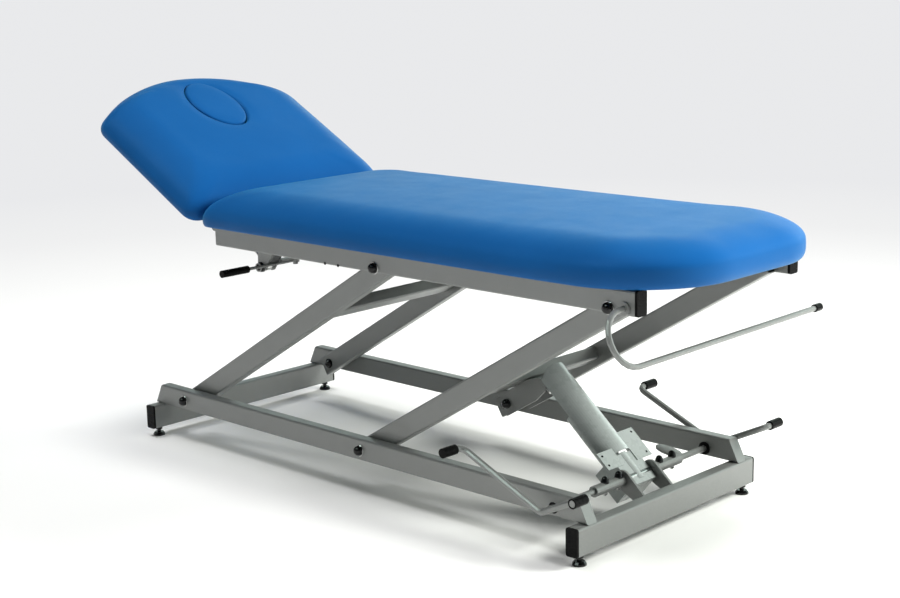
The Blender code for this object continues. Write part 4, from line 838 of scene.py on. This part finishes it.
def domed_cap(name, at, axis, radius, height):
    """A push-on cap: a short collar, a shoulder and a rounded top."""
    piece = start_disc(name, 28, radius)
    collar, shoulder, waist = 0.22, 0.25, 0.95
    raise_face(height * collar, 1.0)
    raise_face(height * (shoulder - collar), waist)
    last, level = waist, shoulder
    for angle in (20, 38, 54, 68, 80):
        width = waist * math.cos(math.radians(angle))
        rise = shoulder + (1 - shoulder) * math.sin(math.radians(angle))
        raise_face(height * (rise - level), width / last)
        last, level = width, rise
    face_outward()
    return place_piece(piece, at, axis)


def hex_nut(name, at, axis, radius, height, stud):
    """A hexagon with chamfered corners and the end of its stud standing out."""
    piece = start_disc(name, 6, radius)
    raise_face(height * 0.85, 1.0)
    raise_face(height * 0.15, 0.88)
    bpy.ops.mesh.inset(thickness=radius * 0.28, depth=0.0)
    raise_face(stud, 1.0)
    face_outward()
    soft = piece.modifiers.new("edges", "BEVEL")
    soft.width = radius * 0.05
    soft.segments = 2
    bpy.ops.object.modifier_apply(modifier="edges")
    return place_piece(piece, at, axis)


def pan_screw(name, at, axis, radius, height):
    """A low round screw head with a round socket."""
    piece = start_disc(name, 24, radius)
    raise_face(height * 0.45, 1.0)
    raise_face(height * 0.35, 0.88)
    raise_face(height * 0.20, 0.66)
    bpy.ops.mesh.inset(thickness=radius * 0.18, depth=0.0)
    raise_face(-height * 0.6, 0.92)
    face_outward()
    return place_piece(piece, at, axis)


def washer(name, at, axis, radius, thick):
    """A pressed washer: a thin disc with a raised, rounded rim."""
    foot = 0.96
    piece = start_disc(name, 32, radius * foot)
    raise_face(thick * 0.3, 1.0 / foot)
    raise_face(thick * 0.4, 1.0)
    raise_face(thick * 0.3, 0.95)
    bpy.ops.mesh.inset(thickness=radius * 0.06, depth=0.0)
    raise_face(-thick * 0.25, 0.97)
    face_outward()
    return place_piece(piece, at, axis)


def coupling_fittings():
    """Black caps over the coupling screws, and their nuts underneath."""
    for side, end, y in COUPLING_SCREWS:
        top, bottom = (SHAFT.x, y, SHAFT.z + SCREW_CAP_RISE), (SHAFT.x, y, SHAFT.z - SCREW_NUT_DROP)
        cap = domed_cap("screw_cap_%s_%s" % (side, end), top, (0, 0, 1), *SCREW_CAP)
        dress(cap, CAP, "pedals")
        nut = hex_nut("screw_nut_%s_%s" % (side, end), bottom, (0, 0, -1), *SCREW_NUT)
        dress(nut, STEEL, "pedals")


def jack_fittings():
    """Screws through the cover's wings."""
    for side, sign, rises in WING_SCREWS:
        for number, rise in enumerate(rises):
            at = SHAFT + JACK_FRONT * WING_SCREW_FRONT + JACK_ALONG * rise + Vector((0, sign * WING_SCREW_SIDE, 0))
            screw = pan_screw("wing_screw_%s_%d" % (side, number + 1), at, JACK_FRONT, *WING_SCREW)
            dress(screw, CAP, "jack")


def pivot_fittings():
    """A bright washer and a black cap on each pivot bolt's outer end."""
    for level, body in (("lower", "base"), ("upper", "upper_frame")):
        for end in ("head", "foot"):
            for side, way in (("right", -1), ("left", 1)):
                place = "%s_%s_%s" % (level, end, side)
                low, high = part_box("pivot_bolt_" + place)
                face = low[1] if way < 0 else high[1]
                seat = Vector(((low[0] + high[0]) / 2, face - way * PIVOT_WASHER_IN, (low[2] + high[2]) / 2))
                ring = washer("pivot_washer_" + place, seat, (0, way, 0), *PIVOT_WASHER)
                dress(ring, STEEL, body)
                seat = seat + Vector((0, way * PIVOT_CAP_RISE, 0))
                cap = domed_cap("pivot_cap_" + place, seat, (0, way, 0), *PIVOT_CAP)
                dress(cap, CAP, body)


def valve_tongue():
    """A flat tongue behind the far coupling."""
    piece = start_disc("valve_tongue", 24, TONGUE_RADIUS)
    bpy.ops.transform.resize(value=TONGUE_STRETCH, center_override=(0, 0, 0))
    bpy.ops.mesh.extrude_region_move(TRANSFORM_OT_translate={"value": (0, 0, TONGUE_THICK)})
    bpy.ops.mesh.inset(thickness=TONGUE_EDGE, depth=TONGUE_CROWN)
    face_outward()
    place_piece(piece, SHAFT + TONGUE_AT, TONGUE_NORMAL)
    dress(piece, SILVER, "pedals")


def hanger_fittings():
    """The black cap on the strut's pin."""
    cap = domed_cap("strut_pin_cap", STRUT_PIN - Vector((0, STRUT_CAP_OUT, 0)), (0, -1, 0), *STRUT_CAP)
    dress(cap, CAP, "upper_frame")


def yoke_fittings():
    """Black caps over both ends of the bolt through the jack's yoke."""
    low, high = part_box("yoke_tie_bolt")
    for side, y, way in (("right", low[1] + YOKE_CAP_IN, -1), ("left", high[1] - YOKE_CAP_IN, 1)):
        at = ((low[0] + high[0]) / 2, y, (low[2] + high[2]) / 2)
        cap = domed_cap("yoke_cap_" + side, at, (0, way, 0), *YOKE_CAP)
        dress(cap, CAP, "foot_arms")


def rail_fittings():
    """Two cushion screws in the near upper rail."""
    for number, at in enumerate(RAIL_SCREWS_AT):
        screw = pan_screw("rail_screw_%d" % (number + 1), at, (0, -1, 0), *RAIL_SCREW)
        dress(screw, CAP, "upper_frame")


coupling_fittings()
jack_fittings()
hanger_fittings()
pivot_fittings()
valve_tongue()
yoke_fittings()
rail_fittings()


# Floor, light and camera

def seen_directly(tree):
    """1 for what the camera sees, also mirrored or through glass, and 0 for what only lights other things."""
    rays = tree.nodes.new("ShaderNodeLightPath")
    return math_node(tree, "MAXIMUM", rays.outputs["Is Camera Ray"],
                     math_node(tree, "MAXIMUM", rays.outputs["Is Glossy Ray"], rays.outputs["Is Transmission Ray"]))


def floor():
    """A white floor that passes into the plain backdrop."""
    deselect()
    bpy.ops.mesh.primitive_plane_add(size=FLOOR_SIZE, location=(0, 0, 0))
    ground = bpy.context.object
    ground.name = "floor"
    made = bpy.data.materials.new("pale_floor")
    made.use_nodes = True
    tree = made.node_tree
    tree.nodes.clear()
    out = tree.nodes.new("ShaderNodeOutputMaterial")
    place = tree.nodes.new("ShaderNodeTexCoord")
    reach = tree.nodes.new("ShaderNodeVectorMath")
    reach.operation = "LENGTH"
    tree.links.new(place.outputs["Object"], reach.inputs[0])
    far = spread_node(tree, reach.outputs["Value"], *FLOOR_FADE, 0.0, 1.0)
    colour = shades(tree, far, (0.0, FLOOR_PALE), (1.0, BACKDROP))
    matt = tree.nodes.new("ShaderNodeBsdfDiffuse")
    tree.links.new(colour, matt.inputs["Color"])
    glow = tree.nodes.new("ShaderNodeEmission")
    tree.links.new(colour, glow.inputs["Color"])
    glow.inputs["Strength"].default_value = 1.0
    mix = tree.nodes.new("ShaderNodeMixShader")
    share = math_node(tree, "MULTIPLY", seen_directly(tree), spread_node(tree, far, 0.0, 0.6, *FLOOR_GLOW))
    tree.links.new(share, mix.inputs["Fac"])
    tree.links.new(matt.outputs["BSDF"], mix.inputs[1])
    tree.links.new(glow.outputs["Emission"], mix.inputs[2])
    tree.links.new(mix.outputs["Shader"], out.inputs["Surface"])
    ground.data.materials.append(made)


def room():
    """Pale walls that brighten behind the table, a plain band at the horizon, and a window for reflections."""
    world = bpy.data.worlds.new("studio")
    bpy.context.scene.world = world
    world.use_nodes = True
    tree = world.node_tree
    shade = tree.nodes["Background"]
    place = tree.nodes.new("ShaderNodeTexCoord")
    parts = tree.nodes.new("ShaderNodeSeparateXYZ")
    tree.links.new(place.outputs["Generated"], parts.inputs["Vector"])
    behind = math_node(tree, "ADD", math_node(tree, "MULTIPLY", parts.outputs["X"], 0.15), parts.outputs["Y"])
    walls = math_node(tree, "ADD", spread_node(tree, behind, -0.40, 0.30, 0.05, 0.60),
                      spread_node(tree, behind, 0.38, 0.80, 0.0, 2.1))
    low = spread_node(tree, parts.outputs["Z"], 0.22, 0.60, 1.0, 0.10)
    skirting = spread_node(tree, parts.outputs["Z"], 0.10, 0.20, 1.0, 0.0)
    tree.links.new(mixed(tree, skirting, WALL_TINT, BACKDROP), shade.inputs["Color"])
    above = math_node(tree, "MULTIPLY", math_node(tree, "SUBTRACT", 1.0, skirting),
                      math_node(tree, "MULTIPLY", walls, low))
    band = math_node(tree, "ADD", skirting, above)
    seen = seen_directly(tree)
    part = spread_node(tree, seen, 0.0, 1.0, WORLD_LIGHT, 1.0)
    toward = tree.nodes.new("ShaderNodeVectorMath")
    toward.operation = "DOT_PRODUCT"
    toward.inputs[1].default_value = WINDOW_TOWARD.normalized()
    tree.links.new(place.outputs["Generated"], toward.inputs[0])
    pane = spread_node(tree, toward.outputs["Value"], *WINDOW_EDGE, 0.0, WINDOW_STRENGTH)
    window = math_node(tree, "MULTIPLY", pane, seen)
    tree.links.new(math_node(tree, "ADD", math_node(tree, "MULTIPLY", band, part), window), shade.inputs["Strength"])


def light():
    """A broad soft sky overhead and one lamp by the foot end."""
    bpy.ops.object.light_add(type="SUN", rotation=SKY_FROM.to_track_quat("Z", "Y").to_euler())
    sky = bpy.context.object
    sky.name = "soft_sky"
    sky.data.energy = SKY_STRENGTH
    sky.data.angle = SKY_ANGLE
    sky.visible_glossy = False
    bpy.ops.object.light_add(type="AREA", location=FOOT_LIGHT_AT)
    lamp = bpy.context.object
    lamp.name = "foot_light"
    lamp.data.shape = "DISK"
    lamp.data.size = FOOT_LIGHT_SIZE
    lamp.data.energy = FOOT_LIGHT_WATTS
    lamp.data.color = FOOT_LIGHT_COLOUR
    lamp.rotation_euler = (Vector(FOOT_LIGHT_TARGET) - Vector(FOOT_LIGHT_AT)).to_track_quat("-Z", "Y").to_euler()
    lamp.visible_glossy = False


def camera():
    """The photograph's camera."""
    bpy.ops.object.camera_add(location=CAMERA_AT)
    made = bpy.context.object
    made.name = "photo_camera"
    az, el, roll = CAMERA_AZIMUTH, CAMERA_ELEVATION, CAMERA_ROLL
    back = Vector((math.sin(az) * math.cos(el), -math.cos(az) * math.cos(el), math.sin(el)))
    right = Vector((math.cos(az), math.sin(az), 0.0))
    up = back.cross(right)
    across = right * math.cos(roll) + up * math.sin(roll)
    upward = up * math.cos(roll) - right * math.sin(roll)
    made.matrix_world = Matrix.Translation(CAMERA_AT) @ Matrix((across, upward, back)).transposed().to_4x4()
    made.data.sensor_width = CAMERA_SENSOR
    made.data.lens = CAMERA_LENS
    made.data.clip_end = CAMERA_FAR
    bpy.context.scene.camera = made


floor()
room()
light()
camera()
bpy.context.scene.view_settings.view_transform = "Standard"
